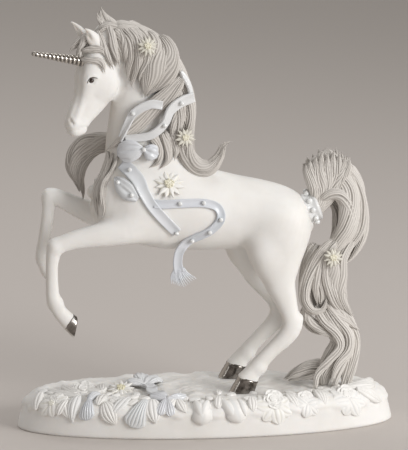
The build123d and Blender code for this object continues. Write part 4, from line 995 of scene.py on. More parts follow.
# Short locks that lie beside the ones above and belong to the same piece
beside = {
    "poll_flick": [
        [
            (-46.5, -4.5, 184.0, 2.6, 2.2), (-50.6, -5.0, 187.0, 2.2, 1.9), (-53.6, -5.2, 190.0, 1.3, 1.2),
            (-54.4, -5.2, 193.0, 0.4, 0.4),
        ],
        [
            (-53.5, -5.5, 181.5, 2.0, 2.2), (-51.5, -6.5, 185.2, 2.4, 2.2), (-47.0, -7.0, 186.6, 2.4, 2.0),
            (-42.0, -8.0, 185.4, 0.8, 0.8),
        ],
    ],
    "cheek_lock": [
        [
            (-53.2, -6.0, 184.2, 2.0, 2.0), (-51.8, -9.6, 180.4, 2.6, 2.0), (-50.0, -11.0, 174.8, 2.6, 1.9),
            (-48.0, -11.0, 169.0, 2.0, 1.7), (-46.4, -10.4, 164.6, 0.5, 0.5),
        ],
        [
            (-49.6, -5.5, 186.2, 2.4, 2.2), (-47.6, -10.0, 182.0, 3.0, 2.2),
            (-46.2, -11.2, 176.0, 3.0, 2.0), (-44.6, -10.8, 170.0, 2.2, 1.8),
            (-43.6, -10.0, 165.8, 0.5, 0.5),
        ],
    ],
    "throat_lock": [
        [
            (-43.0, -6.5, 185.0, 3.0, 2.4), (-40.4, -10.6, 179.0, 3.2, 2.4),
            (-39.4, -10.8, 172.0, 2.8, 2.0), (-40.2, -9.8, 165.4, 0.7, 0.7),
        ],
    ],
    "hooked_lock": [
        [
            (-40.0, -6.0, 185.0, 3.0, 2.4), (-35.6, -11.2, 180.0, 3.4, 2.5),
            (-34.6, -11.6, 171.0, 3.2, 2.3), (-36.2, -10.4, 163.0, 2.4, 2.0),
            (-38.0, -9.6, 157.0, 1.6, 1.4), (-36.0, -9.2, 153.8, 0.5, 0.5),
        ],
    ],
    "broad_lock": [
        [
            (-30.0, -8.0, 182.5, 3.0, 2.2), (-26.5, -12.0, 177.0, 3.6, 2.4),
            (-28.0, -12.6, 169.0, 3.6, 2.2), (-32.6, -11.4, 161.0, 3.0, 2.0),
            (-33.6, -10.6, 155.0, 0.8, 0.8),
        ],
    ],
    "far_mane_lock": [
        [
            (-46.0, 9.5, 122.6, 3.0, 2.6), (-54.0, 10.5, 120.0, 3.2, 2.6), (-60.4, 10.8, 112.0, 2.8, 2.4),
            (-62.0, 10.6, 103.0, 2.2, 2.0), (-61.4, 10.6, 98.0, 0.7, 0.7),
        ],
        [
            (-50.0, 9.0, 126.0, 3.0, 2.4), (-60.0, 10.0, 124.0, 3.4, 2.4), (-66.0, 10.4, 116.0, 3.0, 2.2),
            (-65.6, 10.4, 107.0, 0.7, 0.7),
        ],
    ],
    "rear_lock": [
        [
            (-17.0, -9.0, 158.0, 3.0, 2.6), (-15.0, -10.6, 150.0, 3.6, 2.8),
            (-14.6, -11.0, 141.0, 3.6, 2.8), (-16.4, -11.0, 132.0, 3.0, 2.4),
            (-17.0, -10.6, 125.0, 0.8, 0.8),
        ],
    ],
    "under_bow_lock": [
        [
            (-22.0, -11.4, 133.0, 2.6, 2.2), (-19.6, -12.4, 126.0, 2.6, 2.0),
            (-20.0, -13.4, 119.0, 2.0, 1.7), (-24.6, -14.6, 114.6, 0.6, 0.6),
        ],
        [(-17.0, -11.0, 132.0, 2.6, 2.2), (-15.6, -11.8, 125.0, 2.4, 2.0), (-16.6, -13.0, 118.6, 0.6, 0.6)],
    ],
    "forelock": [
        [
            (-56.5, -5.0, 182.6, 2.0, 2.1), (-61.8, -6.0, 179.6, 2.1, 2.2), (-65.8, -6.6, 176.0, 1.6, 1.6),
            (-68.2, -7.0, 172.4, 0.4, 0.4),
        ],
        [
            (-56.5, -6.5, 181.0, 1.9, 2.0), (-61.0, -8.0, 177.6, 2.0, 2.0), (-63.8, -8.6, 173.2, 1.6, 1.5),
            (-64.6, -9.0, 169.4, 0.4, 0.4),
        ],
        [
            (-62.5, -9.6, 170.2, 1.7, 1.4), (-58.2, -12.0, 170.2, 2.2, 1.6),
            (-53.6, -12.8, 170.0, 2.3, 1.6), (-51.4, -12.9, 167.8, 1.9, 1.5),
            (-50.6, -12.6, 163.0, 0.5, 0.5),
        ],
        [
            (-62.0, -9.6, 174.6, 1.6, 1.4), (-57.0, -11.6, 175.6, 2.1, 1.5),
            (-52.4, -12.0, 175.2, 1.9, 1.4), (-49.6, -12.0, 171.0, 0.5, 0.5),
        ],
        [
            (-60.4, -8.0, 182.4, 1.8, 1.6), (-62.3, -8.6, 176.4, 1.9, 1.6), (-62.9, -9.0, 172.4, 1.4, 1.3),
            (-62.6, -9.2, 169.6, 0.5, 0.5),
        ],
    ],
}
# Long hair on the breast, laid against the skin under the bow
breast_locks = [
    [
        (-49.8, -5.0, 122.4, 0.9, 1.6), (-52.9, -5.5, 117.0, 1.6, 2.6), (-54.1, -5.5, 110.3, 1.8, 2.8),
        (-54.1, -5.0, 103.0, 1.8, 2.6), (-52.8, -5.0, 96.8, 1.5, 2.2), (-51.1, -5.0, 91.1, 0.5, 0.6),
    ],
    [
        (-45.3, -10.0, 120.4, 0.9, 1.4), (-49.3, -9.5, 113.7, 1.5, 2.2), (-51.2, -9.0, 107.5, 1.7, 2.4),
        (-50.7, -9.0, 100.8, 1.6, 2.2), (-50.0, -9.0, 94.6, 1.2, 1.6), (-49.9, -8.5, 90.4, 0.5, 0.6),
    ],
    [
        (-47.6, -8.0, 122.0, 0.9, 1.4), (-51.1, -7.6, 116.4, 1.4, 2.0), (-52.5, -7.2, 108.6, 1.5, 2.2),
        (-52.3, -7.0, 100.9, 1.3, 1.8), (-51.3, -7.0, 95.2, 0.5, 0.6),
    ],
]
beside["shoulder_lock"] = []
for lock in breast_locks:
    spots = settled([(x, y, z + ground) for x, y, z, _, _ in lock], 0.5)[0] - (0, 0, ground)
    beside["shoulder_lock"].append([(*spot, *row[3:]) for spot, row in zip(spots, lock)])
mane_strands = {"crest_mane": 4, "shoulder_lock": 3, "far_mane_lock": 3, "wither_lock": 3}
# Each piece of the mane carries painted shade, 0.22 unless listed, most of all the far lock that hangs in
# shade behind the throat
mane_painted_shade = {"far_mane_lock": 0.5, "wither_lock": 0.36}
for i, (name, stations) in enumerate(mane.items()):
    locks = [stations] + beside.get(name, [])
    comb("hair_" + name, locks, 100 + 40 * i, name, mane_strands.get(name, 2), mane_painted_shade.get(name, 0.22))

# Tail: a spray that stands up from the dock, folds over and falls in long combed locks to the plinth,
# which holds the figure up as a third foot. Rolled, combed and coloured as the mane is.
tail = {
    "tail_spray": [
        (48.0, 0.0, 88.5, 5.5, 5.5), (53.5, 0.0, 90.8, 6.0, 6.0), (58.0, 0.0, 95.0, 6.5, 6.0),
        (60.4, 0.0, 103.0, 9.5, 5.0), (61.0, 0.0, 111.0, 11.0, 5.0), (61.4, 0.0, 117.0, 11.0, 4.6),
        (61.6, 0.0, 120.6, 8.5, 4.0),
    ],
    "tail_fold": [
        (67.5, 0.0, 111.5, 6.5, 5.0), (72.5, -1.0, 101.0, 8.0, 6.5), (73.0, -2.0, 90.0, 8.5, 7.0),
        (70.5, -3.0, 80.0, 8.5, 7.0), (64.5, -3.5, 71.0, 7.5, 6.5), (61.0, -4.0, 61.5, 7.0, 6.0),
    ],
    "tail_outer_lobe": [
        (71.0, 3.0, 107.0, 4.0, 3.5), (76.0, 3.5, 95.0, 5.0, 4.5), (77.0, 4.0, 83.0, 5.8, 5.0),
        (74.5, 3.5, 72.5, 5.5, 4.8), (68.0, 3.0, 63.0, 4.0, 3.8), (61.5, 3.0, 53.0, 3.6, 3.2),
        (58.5, 3.0, 42.0, 4.0, 3.2), (57.5, 2.5, 32.0, 3.8, 3.0), (61.0, 2.0, 24.0, 2.2, 2.0),
    ],
    "tail_middle": [
        (62.0, -4.0, 69.0, 7.0, 5.5), (64.5, -5.0, 60.0, 8.0, 6.0), (65.5, -5.0, 50.0, 7.5, 6.0),
        (68.5, -4.0, 40.0, 6.0, 5.0), (73.0, -3.0, 32.5, 2.5, 2.2),
    ],
    "tail_fall": [
        (61.0, -2.0, 42.0, 7.0, 6.0), (66.0, -3.0, 32.0, 8.0, 7.5), (70.0, -3.0, 22.0, 7.5, 7.5),
        (66.5, -3.0, 12.5, 8.5, 8.5), (63.2, -3.0, 5.0, 9.0, 9.5), (63.5, -3.0, -3.0, 9.0, 10.0),
    ],
    "tail_curl": [
        (56.0, -2.0, 72.0, 4.0, 4.0), (53.0, -3.0, 62.0, 5.5, 5.0), (51.0, -3.5, 50.0, 6.0, 5.0),
        (52.5, -4.0, 42.0, 5.0, 4.0), (57.0, -4.5, 38.0, 3.0, 2.6), (60.0, -4.5, 42.0, 1.2, 1.2),
    ],
    "tail_knot": [
        (55.0, -1.0, 42.0, 4.0, 3.6), (51.0, -1.0, 35.0, 4.0, 3.6), (54.0, -1.0, 29.0, 3.2, 3.0),
        (62.0, -1.0, 25.0, 3.0, 2.6),
    ],
    "tail_ground_curl": [
        (60.0, 0.0, 9.0, 4.5, 4.0), (52.0, 0.5, 8.0, 4.0, 4.0), (45.0, 1.0, 4.6, 3.0, 3.0),
        (40.0, 1.0, 1.4, 1.2, 1.2),
    ],
}
# Tips of the spray from left to right, x and height above the ground
spray_tips = [
    (49.6, 112.0), (51.6, 115.4), (54.4, 117.6), (57.4, 119.2), (60.4, 120.0),
    (63.4, 120.2), (66.4, 119.4), (69.2, 118.2), (71.6, 115.6),
]
spray_locks = []
for layer, y in enumerate((3.4, -3.4)):
    for k, (x, z) in enumerate(spray_tips):
        lean = 2 * k / (len(spray_tips) - 1) - 1
        spray_locks.append([
            (53.5, 0.6 * y, 90.6, 2.6, 3.0),
            (57.4 + 2.2 * lean, 0.8 * y, 94.6 - 1.4 * lean, 2.8, 3.0),
            (60.2 + 5.6 * lean, y, 101.5, 3.0, 3.0),
            (0.35 * (61.5 + 9.0 * lean) + 0.65 * x, y, 111.0, 2.8, 2.8),
            (x + 0.8 * layer, 0.9 * y, z + 0.4 + 0.7 * math.sin(2.4 * k + layer), 0.9, 0.9),
        ])
# Long locks that run on over the pieces below
long_locks = {
    "tail_spray": spray_locks,
    "tail_fold": [
        [
            (57.0, 3.0, 93.0, 2.4, 2.4), (63.0, 4.0, 94.6, 3.0, 3.0), (67.4, 5.0, 89.0, 3.2, 3.0),
            (67.0, 4.0, 80.0, 3.2, 3.0), (63.0, 2.0, 72.0, 1.2, 1.2),
        ],
        [
            (56.0, -4.0, 94.0, 2.8, 2.4), (62.0, -5.4, 98.0, 3.8, 2.6), (67.5, -5.8, 97.0, 4.2, 2.8),
            (71.2, -6.0, 90.0, 4.4, 2.8), (71.6, -6.4, 83.0, 4.4, 2.8), (66.6, -7.0, 74.0, 4.0, 2.6),
            (60.4, -7.4, 66.0, 3.2, 2.4), (58.6, -7.6, 58.0, 0.9, 0.9),
        ],
        [
            (68.5, -1.0, 114.0, 2.6, 2.2), (72.5, -2.5, 107.5, 3.6, 2.6), (76.0, -3.5, 99.0, 4.0, 2.8),
            (77.5, -4.0, 90.0, 4.2, 2.8), (76.4, -5.0, 80.0, 4.2, 2.8), (71.0, -6.0, 71.4, 3.8, 2.6),
            (66.4, -7.2, 63.0, 3.4, 2.6), (66.4, -8.0, 54.0, 0.9, 0.9),
        ],
    ],
    "tail_outer_lobe": [
        [
            (66.0, 1.0, 115.0, 3.0, 3.0), (73.4, 0.6, 108.0, 3.6, 3.0), (78.0, 0.2, 96.0, 3.6, 3.0),
            (80.0, 0.0, 84.0, 3.8, 3.0), (79.0, -1.0, 74.0, 4.0, 3.0), (74.0, -2.4, 65.4, 3.4, 2.8),
            (69.0, -3.6, 60.4, 0.9, 0.9),
        ],
    ],
    "tail_middle": [
        [
            (67.0, -6.6, 75.0, 3.0, 2.4), (61.6, -8.0, 67.0, 3.2, 2.4), (60.6, -9.0, 58.0, 3.2, 2.4),
            (63.0, -9.6, 49.0, 3.2, 2.4), (66.4, -9.0, 41.6, 2.8, 2.2), (71.0, -7.6, 36.0, 0.8, 0.8),
        ],
        [
            (73.4, -5.0, 74.0, 2.8, 2.2), (68.6, -7.6, 66.0, 3.2, 2.4), (68.6, -8.6, 57.0, 3.2, 2.4),
            (67.6, -8.8, 48.0, 3.2, 2.4), (71.0, -7.6, 40.0, 2.6, 2.0), (75.4, -5.4, 34.4, 0.7, 0.7),
        ],
        [
            (62.0, -7.0, 44.0, 2.8, 2.2), (66.0, -8.0, 38.0, 3.0, 2.2), (71.6, -8.0, 33.0, 2.6, 2.0),
            (78.0, -6.4, 27.6, 0.6, 0.6),
        ],
    ],
    "tail_curl": [
        [
            (66.0, -6.0, 75.0, 2.8, 2.4), (58.6, -7.4, 69.0, 3.0, 2.4), (53.4, -7.8, 61.0, 3.2, 2.6),
            (49.8, -8.0, 52.0, 3.2, 2.6), (49.4, -8.0, 44.6, 3.0, 2.4), (53.0, -8.2, 39.2, 2.8, 2.2),
            (58.0, -8.4, 39.4, 2.6, 2.0), (60.4, -8.4, 44.4, 2.2, 1.8), (60.2, -8.0, 51.0, 0.8, 0.8),
        ],
        [
            (62.0, -6.6, 70.0, 2.6, 2.2), (57.6, -8.0, 62.0, 2.8, 2.4), (55.4, -8.6, 54.0, 2.8, 2.4),
            (55.0, -8.4, 47.6, 2.4, 2.0), (56.0, -7.4, 40.6, 1.2, 1.2),
        ],
        [
            (59.0, -6.2, 63.0, 2.8, 2.2), (57.2, -6.8, 54.0, 3.4, 2.6), (57.6, -6.8, 46.6, 4.4, 2.8),
            (57.8, -6.2, 38.4, 3.6, 2.4),
        ],
    ],
    "tail_knot": [
        [
            (50.0, -4.6, 42.0, 2.6, 2.2), (51.6, -5.4, 35.0, 3.0, 2.4), (57.0, -6.4, 30.0, 3.0, 2.4),
            (63.0, -7.6, 26.4, 2.6, 2.2), (67.0, -8.0, 21.0, 0.8, 0.8),
        ],
    ],
    "tail_fall": [
        [
            (55.0, -5.0, 41.0, 2.8, 2.2), (59.0, -7.4, 33.6, 3.2, 2.4), (65.6, -9.2, 27.0, 3.4, 2.4),
            (67.4, -10.0, 20.6, 3.4, 2.4), (61.4, -10.6, 13.2, 3.4, 2.6), (56.2, -11.0, 7.0, 3.4, 2.6),
            (55.4, -11.4, 1.0, 3.4, 2.6), (55.4, -11.4, -4.0, 3.0, 2.4),
        ],
        [
            (60.0, -6.4, 43.0, 2.8, 2.2), (66.0, -8.0, 35.0, 3.4, 2.4), (71.6, -8.8, 27.0, 3.4, 2.4),
            (72.0, -9.4, 19.0, 3.4, 2.4), (66.6, -10.4, 11.0, 3.8, 2.6), (63.4, -11.0, 1.0, 3.8, 2.6),
            (63.0, -11.0, -4.0, 3.4, 2.4),
        ],
        [
            (66.4, -5.0, 40.0, 2.6, 2.2), (72.0, -5.6, 32.0, 3.0, 2.4), (75.0, -6.0, 23.0, 3.0, 2.4),
            (73.2, -7.4, 12.0, 3.6, 2.6), (70.6, -8.8, 1.0, 3.8, 2.6), (70.2, -8.8, -4.0, 3.4, 2.4),
        ],
    ],
    "tail_ground_curl": [
        [
            (60.0, -4.0, 10.0, 3.4, 2.6), (52.6, -3.6, 8.8, 3.6, 2.8), (46.0, -3.0, 5.4, 2.8, 2.4),
            (40.2, -2.0, 1.8, 0.8, 0.8),
        ],
        [
            (60.0, -2.0, 5.0, 3.4, 2.6), (53.0, -1.6, 4.0, 3.2, 2.6), (46.0, -1.0, 2.6, 2.4, 2.2),
            (41.6, -1.0, 1.0, 0.8, 0.8),
        ],
    ],
}
for i, (name, stations) in enumerate(tail.items()):
    strands = 1 if name == "tail_spray" else 2
    # Every piece of the tail but its fall carries a little painted shade.
    shade = 0.0 if name == "tail_fall" else 0.14
    comb("hair_" + name, [stations] + long_locks[name], 900 + 80 * i, name, strands, shade)

# Ring round the tail: a band of clay in pale blue enamel, wrapped round the root of the tail and set
# with small glazed balls for pearls.
ribbon_blue, ribbon_pale, ribbon_lilac = (0.56, 0.605, 0.645, 1), (0.70, 0.72, 0.73, 1), (0.64, 0.64, 0.71, 1)
ribbon_white, pearl_grey, pearl_white = (0.76, 0.76, 0.75, 1), (0.72, 0.74, 0.75, 1), (0.86, 0.86, 0.84, 1)
ribbon, tree, shader = shader_of("ribbon_enamel")
tint = between(tree, grain(tree, 55), ribbon_blue, ribbon_pale, 0.35, 0.65)
tint = mixed(tree, ranged(tree, grain(tree, 38, 2.0), 0.0, 0.6), tint, ribbon_lilac)
tint = mixed(tree, painted(tree, "pale"), tint, ribbon_white)
coloured(tree, shader, tint, 300, 0.28, 0.42)
toothed(tree, shader, grain(tree, 1200, 2.0), 0.08, 0.0002)
shader.inputs["Coat Weight"].default_value = 0.25
pearl, tree, shader = shader_of("pearl_glaze")
coloured(tree, shader, between(tree, grain(tree, 500), pearl_grey, pearl_white), 600, 0.1, 0.2)
shader.inputs["Coat Weight"].default_value = 1.0
ring_centre, ring_way = np.array([53.6, 0.0, 90.9 + ground]), unit(np.array([0.934, 0.0, 0.357]))
ring_radius, ring_steps, ring_pearls, ring_pearl_radius = 7.7, 72, 10, 1.4
ring_across = np.array([0.0, 1.0, 0.0])
ring_up = np.cross(ring_way, ring_across)
# Half of the band's section, along the tail and out of it; the other half is its mirror
band_half = [(3.5, -1.2), (3.6, 0.0), (3.1, 0.8), (2.2, 1.0), (1.4, 0.5)]
band_section = [(-along, out) for along, out in band_half] + [(0.0, 0.35)] + band_half[::-1]


def spoke(turn):
    """The way out of the tail at a turn round it."""
    return ring_across * math.cos(turn) + ring_up * math.sin(turn)


def pearl_bead(place, out, along, radius):
    """A glazed ball of clay."""
    return ball(place, out, along, (radius,) * 3, 12, 20)


points = np.array([
    ring_centre + ring_way * along + spoke(turn) * (ring_radius + out - 0.8)
    for turn in np.linspace(0, 2 * math.pi, ring_steps, endpoint=False) for along, out in band_section
])
faces, count = [], len(band_section)
for i in range(ring_steps):
    here, there = i * count, (i + 1) % ring_steps * count
    for j in range(count):
        beyond = (j + 1) % count
        faces.append((here + j, here + beyond, there + beyond, there + j))
stick_up("ring_band", points, faces, ribbon, "ribbon", "tail_ring", pale=np.full(len(points), 0.85))
beads = []
for turn in np.linspace(0, 2 * math.pi, ring_pearls, endpoint=False):
    out = spoke(turn)
    beads.append(pearl_bead(ring_centre + out * (ring_radius + 0.5), out, ring_way, ring_pearl_radius))
points, faces, _ = together(beads)
stick_up("ring_pearls", points, faces, pearl, "pearl", "tail_ring_pearls")

# Ribbon: flat strips of clay with softened edges in pale blue enamel, laid over the mane and the
# shoulder while damp, with glazed balls for pearls, and a fringed end that hangs under the belly.
# Stations (x, y, height above the ground, half width), what carries each length, and its pearls' stations
ribbons = {
    "ribbon_upper": (
        [
            (-6.8, -12.2, 150.7, 2.8), (-13.5, -13.6, 148.4, 3.0), (-18.6, -14.6, 144.5, 2.8),
            (-22.0, -14.4, 137.5, 2.3), (-29.1, -14.0, 131.9, 2.1), (-41.0, -11.8, 130.3, 1.7),
        ],
        "neck", (1, 3),
    ),
    "ribbon_wrap": (
        [
            (-22.5, -13.8, 147.0, 2.2), (-29.1, -13.8, 147.6, 2.3), (-36.8, -12.8, 143.0, 2.1),
            (-40.6, -12.2, 136.0, 1.8), (-43.4, -10.4, 129.0, 1.5),
        ],
        "neck", (2,),
    ),
    "ribbon_band": (
        [
            (-42.6, -10.4, 117.6, 3.2), (-38.6, -13.4, 114.0, 3.4), (-34.8, -16.4, 109.6, 3.4),
            (-32.4, -18.0, 104.2, 3.0), (-28.4, -19.2, 97.4, 2.8), (-22.8, -19.4, 90.8, 2.8),
            (-16.0, -17.6, 83.6, 2.6),
        ],
        "trunk", (1, 6),
    ),
    "ribbon_streamer": (
        [
            (-27.6, -19.2, 98.6, 2.2), (-22.4, -19.3, 98.1, 2.2), (-14.5, -19.2, 98.3, 2.2),
            (-2.6, -19.0, 98.2, 2.2), (4.4, -18.6, 95.6, 2.2), (5.8, -18.9, 89.8, 2.2),
            (0.4, -18.2, 83.6, 2.2), (-8.2, -16.4, 79.0, 2.2), (-13.8, -15.0, 73.8, 2.3),
            (-15.2, -14.5, 67.4, 2.4), (-14.4, -14.3, 62.2, 2.6),
        ],
        "trunk", (2, 3, 5, 6, 7),
    ),
}
# Puffed loops in the same way, with half sizes up and across
puffs = {
    "ribbon_bow_upper": (
        [
            (-32.4, -14.8, 125.6, 1.4, 1.2), (-35.4, -14.4, 125.0, 4.4, 2.0),
            (-39.4, -13.2, 124.2, 5.6, 2.3), (-42.8, -11.2, 122.9, 4.6, 1.9),
            (-44.6, -10.0, 122.0, 1.2, 0.8),
        ],
        "neck", (),
    ),
    "ribbon_bow_lower": (
        [
            (-32.0, -15.0, 125.4, 1.4, 1.2), (-29.8, -15.3, 124.5, 3.8, 1.9),
            (-27.2, -15.3, 123.0, 4.2, 1.9), (-25.2, -14.8, 121.8, 1.6, 0.9),
        ],
        "neck", (0,),
    ),
    "ribbon_loop": (
        [
            (-45.8, -11.6, 110.6, 1.0, 0.7), (-43.6, -13.8, 108.2, 3.5, 1.4),
            (-40.8, -16.0, 105.2, 4.5, 1.7), (-38.0, -17.4, 102.8, 3.6, 1.5),
            (-35.4, -18.5, 100.8, 1.6, 0.9),
        ],
        "trunk", (1, 3),
    ),
}
ribbon_paleness = {
    "ribbon_upper": 0.8, "ribbon_wrap": 0.7, "ribbon_bow_upper": 0.35, "ribbon_bow_lower": 0.3,
    "ribbon_loop": 0.5, "ribbon_band": 0.25,
}
ribbon_half_thickness, pearl_radius, neck_axis_x = 0.95, 1.15, -31.0
# The streamer leaves the belly between these heights above the ground
hanging_from, hanging_below = 79.0, 75.0
# Half of the ribbon's upper face from its edge inwards, in shares of the half width and half thickness
face_half = [(1.0, 0.0), (0.98, 0.6), (0.88, 0.95), (0.7, 0.8), (0.35, 0.5)]
ribbon_section = [(-wide, high) for wide, high in face_half] + [(0.0, 0.42)] + face_half[::-1]
ribbon_section += [(0.95, -0.7), (0.5, -1.0), (0.0, -1.0), (-0.5, -1.0), (-0.95, -0.7)]
bow_pleats = dict(ridges=6, depth=0.7, partings=2, parting_depth=0.5, around=96, wander=0.15)


def strip(points, facings, half_widths, half_thickness):
    """A flat ribbon with rounded, slightly raised edges."""
    along, out, _ = crossways(points, facings)
    side = np.cross(out, along)
    rows = []
    for wide, high in ribbon_section:
        rows.append(points + side * (half_widths * wide)[:, None] + out * (half_thickness * high))
    skin = np.vstack([np.stack(rows, axis=1).reshape(-1, 3), points[:1], points[-1:]])
    return skin, tube_faces(len(points), len(ribbon_section)), np.zeros(len(skin))


def laid_on(path, base):
    """A path laid on what carries it, and the way out of it at each point."""
    if base == "neck":
        axis = np.stack([np.full(len(path), neck_axis_x), 0 * path[:, 1], path[:, 2]], axis=1)
        return path, unit(path - axis)
    on_skin, out = settled(path, 0.6)
    hold = np.clip((path[:, 2] - ground - hanging_below) / (hanging_from - hanging_below), 0, 1)[:, None]
    return path + hold * (on_skin - path), unit(hold * out + (1 - hold) * np.array([0.0, -1.0, 0.0]))


def nearest_spot(path, station):
    """The number of the path's point that is nearest to a station."""
    return np.argmin(np.linalg.norm(path - (np.array(station[:3]) + (0, 0, ground)), axis=1))


upwards = np.array([0, 0, 1.0])
# The end of the upper ribbon, which shows behind the mane
back_loop = [
    (-13.4, -11.6, 163.4, 0.8), (-11.6, -11.8, 160.6, 1.6), (-9.4, -11.8, 156.4, 1.7),
    (-8.0, -12.0, 150.8, 1.5),
]
beads = []
for name, (stations, base, pearl_stations) in ribbons.items():
    rows = drawn_out([(x, y, z + ground, wide, 0) for x, y, z, wide in stations], 0.6)
    path, facing = laid_on(rows[:, :3], base)
    lengths = [strip(path, facing, rows[:, 3], ribbon_half_thickness)]
    if name == "ribbon_upper":
        loop = drawn_out([(x, y, z + ground, wide, 0) for x, y, z, wide in back_loop], 0.6)
        lengths.append(strip(*laid_on(loop[:, :3], base), loop[:, 3], ribbon_half_thickness))
    points, faces, _ = together(lengths)
    pale = np.full(len(points), ribbon_paleness.get(name, 0))
    stick_up("enamel_" + name, points, faces, ribbon, "ribbon", name, pale=pale)
    _, outs, _ = crossways(path, facing)
    for k in pearl_stations:
        spot = nearest_spot(path, stations[k])
        beads.append(pearl_bead(path[spot] + outs[spot] * 1.3, outs[spot], upwards, pearl_radius))
for i, (name, (stations, base, pearl_stations)) in enumerate(puffs.items()):
    rows = drawn_out([(x, y, z + ground, high, wide) for x, y, z, high, wide in stations], 0.5)
    rows[:, :3], facing = laid_on(rows[:, :3], base)
    points, faces, _ = grooved(rows, facing, seed=280 + i, **bow_pleats)
    pale = np.full(len(points), ribbon_paleness.get(name, 0))
    stick_up("enamel_" + name, points, faces, ribbon, "ribbon", name, pale=pale)
    for k in pearl_stations:
        spot = nearest_spot(rows[:, :3], stations[k])
        place = rows[spot, :3] + facing[spot] * (rows[spot, 4] + 0.2)
        beads.append(pearl_bead(place, facing[spot], upwards, pearl_radius))
points, faces, _ = together(beads)
stick_up("strip_pearls", points, faces, pearl, "pearl", "ribbon_pearls")

fringe_top, fringe_count = np.array([-14.6, -14.3, 64.0 + ground]), 13
fringe_comb = dict(ridges=2, depth=0.12, seed=291, partings=1, parting_depth=0.1, around=14)
fringe = []
dice = np.random.default_rng(290)
for share in np.linspace(-1, 1, fringe_count):
    end_height = 55.4 + ground - 0.9 * math.cos(3 * share) + max(share, 0) * 2.2
    end = np.array([-12.0 + 6.2 * share, -14.3 + dice.uniform(-0.6, 0.6), end_height])
    begin = fringe_top + np.array([2.3 * share, 0.0, 0.4 * share])
    bend = 0.5 * (begin + end) + np.array([-0.9, 0.0, 0.0])
    rows = [[*begin, 0.5, 0.75], [*bend, 0.45, 0.6], [*end, 0.12, 0.14]]
    fringe.append(grooved(drawn_out(rows, 0.5), sideways, **fringe_comb))
points, faces, _ = together(fringe)
stick_up("enamel_fringe", points, faces, ribbon, "ribbon", "ribbon_tassel")

# Blossoms: star flowers with pointed petals, pinched by hand from slips of clay and tinted cream, with a
# yellow heart of small beads. Four are stuck on the shoulder, the mane and the tail, and one lies on the
# plinth with a few soft roses.
petal_cream, petal_white, petal_faint = (0.78, 0.755, 0.66, 1), (0.85, 0.84, 0.81, 1), (0.68, 0.655, 0.58, 1)
petal_clay, tree, shader = shader_of("petal_cream")
tone = between(tree, grain(tree, 160), petal_white, bisque_white)
tone = mixed(tree, painted(tree, "groove"), tone, petal_cream)
tone = mixed(tree, painted(tree, "faint"), tone, petal_faint)
coloured(tree, shader, tone, 300, 0.45, 0.62)
toothed(tree, shader, grain(tree, 1700, 2.0), 0.1, 0.0002)
heart_deep, heart_light = (0.70, 0.65, 0.45, 1), (0.80, 0.765, 0.60, 1)
heart_clay, tree, shader = shader_of("heart_yellow")
tone = between(tree, grain(tree, 700), heart_deep, heart_light)
coloured(tree, shader, mixed(tree, painted(tree, "pale"), tone, petal_white), 400, 0.4, 0.6)
toothed(tree, shader, grain(tree, 1500, 2.0), 0.2, 0.0003)
star_petals, heart_beads, bead_turn = 12, 14, 2.399963
# A petal from its foot to its tip: share of the length, of the width and of the rise
petal_profile = ((0.0, 0.5, 0.2), (0.25, 0.85, 0.35), (0.55, 1.0, 0.4), (0.8, 0.62, 0.3), (1.0, 0.08, 0.05))
petal_crease = dict(ridges=2, depth=0.35, partings=2, parting_depth=0.2, around=28, wander=0.05)


def star(centre, facing, radius, seed):
    """Pointed petals round a centre, each with a crease along its middle."""
    dice = np.random.default_rng(seed)
    out, first, second = ways_of_flower(facing)
    forms = []
    for k in range(star_petals):
        a = 2 * math.pi * (k + dice.uniform(-0.12, 0.12)) / star_petals
        way = first * math.cos(a) + second * math.sin(a)
        reach = radius * dice.uniform(0.92, 1.06)
        rows = []
        for share, wide, rise in petal_profile:
            spot = centre + way * reach * share + out * (rise * 1.1 + (0.15 if k % 2 else 0.5))
            rows.append([*spot, 0.55 + 0.25 * (1 - share), 0.2 * radius * wide])
        side = np.cross(out, way)
        forms.append(grooved(drawn_out(rows, 0.45), side, seed=seed + k, **petal_crease))
    return together(forms)


def heart(centre, facing, radius):
    """A heart of small beads on a low dome."""
    out, first, second = ways_of_flower(facing)
    forms = [ball(centre + out * 0.9, out, first, (radius * 0.32, radius * 0.32, radius * 0.22), 10, 20)]
    for k in range(heart_beads):
        a = bead_turn * k
        way = first * math.cos(a) + second * math.sin(a)
        spot = centre + way * radius * 0.08 * math.sqrt(k + 0.5) + out * (1.0 + radius * 0.14)
        forms.append(ball(spot, out, first, (radius * 0.085,) * 3, 6, 10))
    return together(forms)


blossoms = {
    "shoulder_blossom": ((-19.7, -16.0, 107.4), (0.05, -0.86, 0.51), 7.5),
    "mane_blossom": ((-11.4, -13.6, 130.5), (0.1, -0.97, 0.2), 5.2),
    "crest_blossom": ((-30.0, -14.6, 177.0), (0, -0.96, 0.28), 5.2),
    "tail_blossom": ((63.2, -11.4, 67.0), (0, -0.98, 0.2), 5.2),
}
hearts = []
for i, (name, (centre, facing, radius)) in enumerate(blossoms.items()):
    middle = np.array(centre) + (0, 0, ground)
    points, faces, groove = star(middle, facing, radius, 300 + i)
    faint = np.full(len(points), 0.0 if name == "shoulder_blossom" else 1.0)
    stick_up("petals_" + name, points, faces, petal_clay, "blossom", name, groove=groove, faint=faint)
    hearts.append(heart(middle + unit(np.array(facing, float)) * 0.4, facing, radius))
points, faces, _ = together(hearts)
pale = np.full(len(points), 0.3)
stick_up("blossom_hearts", points, faces, heart_clay, "blossom_centre", "blossom_centres", pale=pale)
yellow_place = (np.array([-43.0, -7.0, ground + 0.6]), (-0.1, -0.4, 0.9), 6.5)
soft_roses = [
    (np.array([-62.0, -5.0, ground - 0.2]), (-0.1, -0.4, 0.9), 6.5),
    (rim(-70.0, 4.2), out_of_the_rim(-70.0, 0.9), 5.8),
    (rim(-150.0, 2.6), out_of_the_rim(-150.0, 0.6), 3.6),
]
flowers = [star(*yellow_place, 340)] + [rose(*place, 344 + i) for i, place in enumerate(soft_roses)]
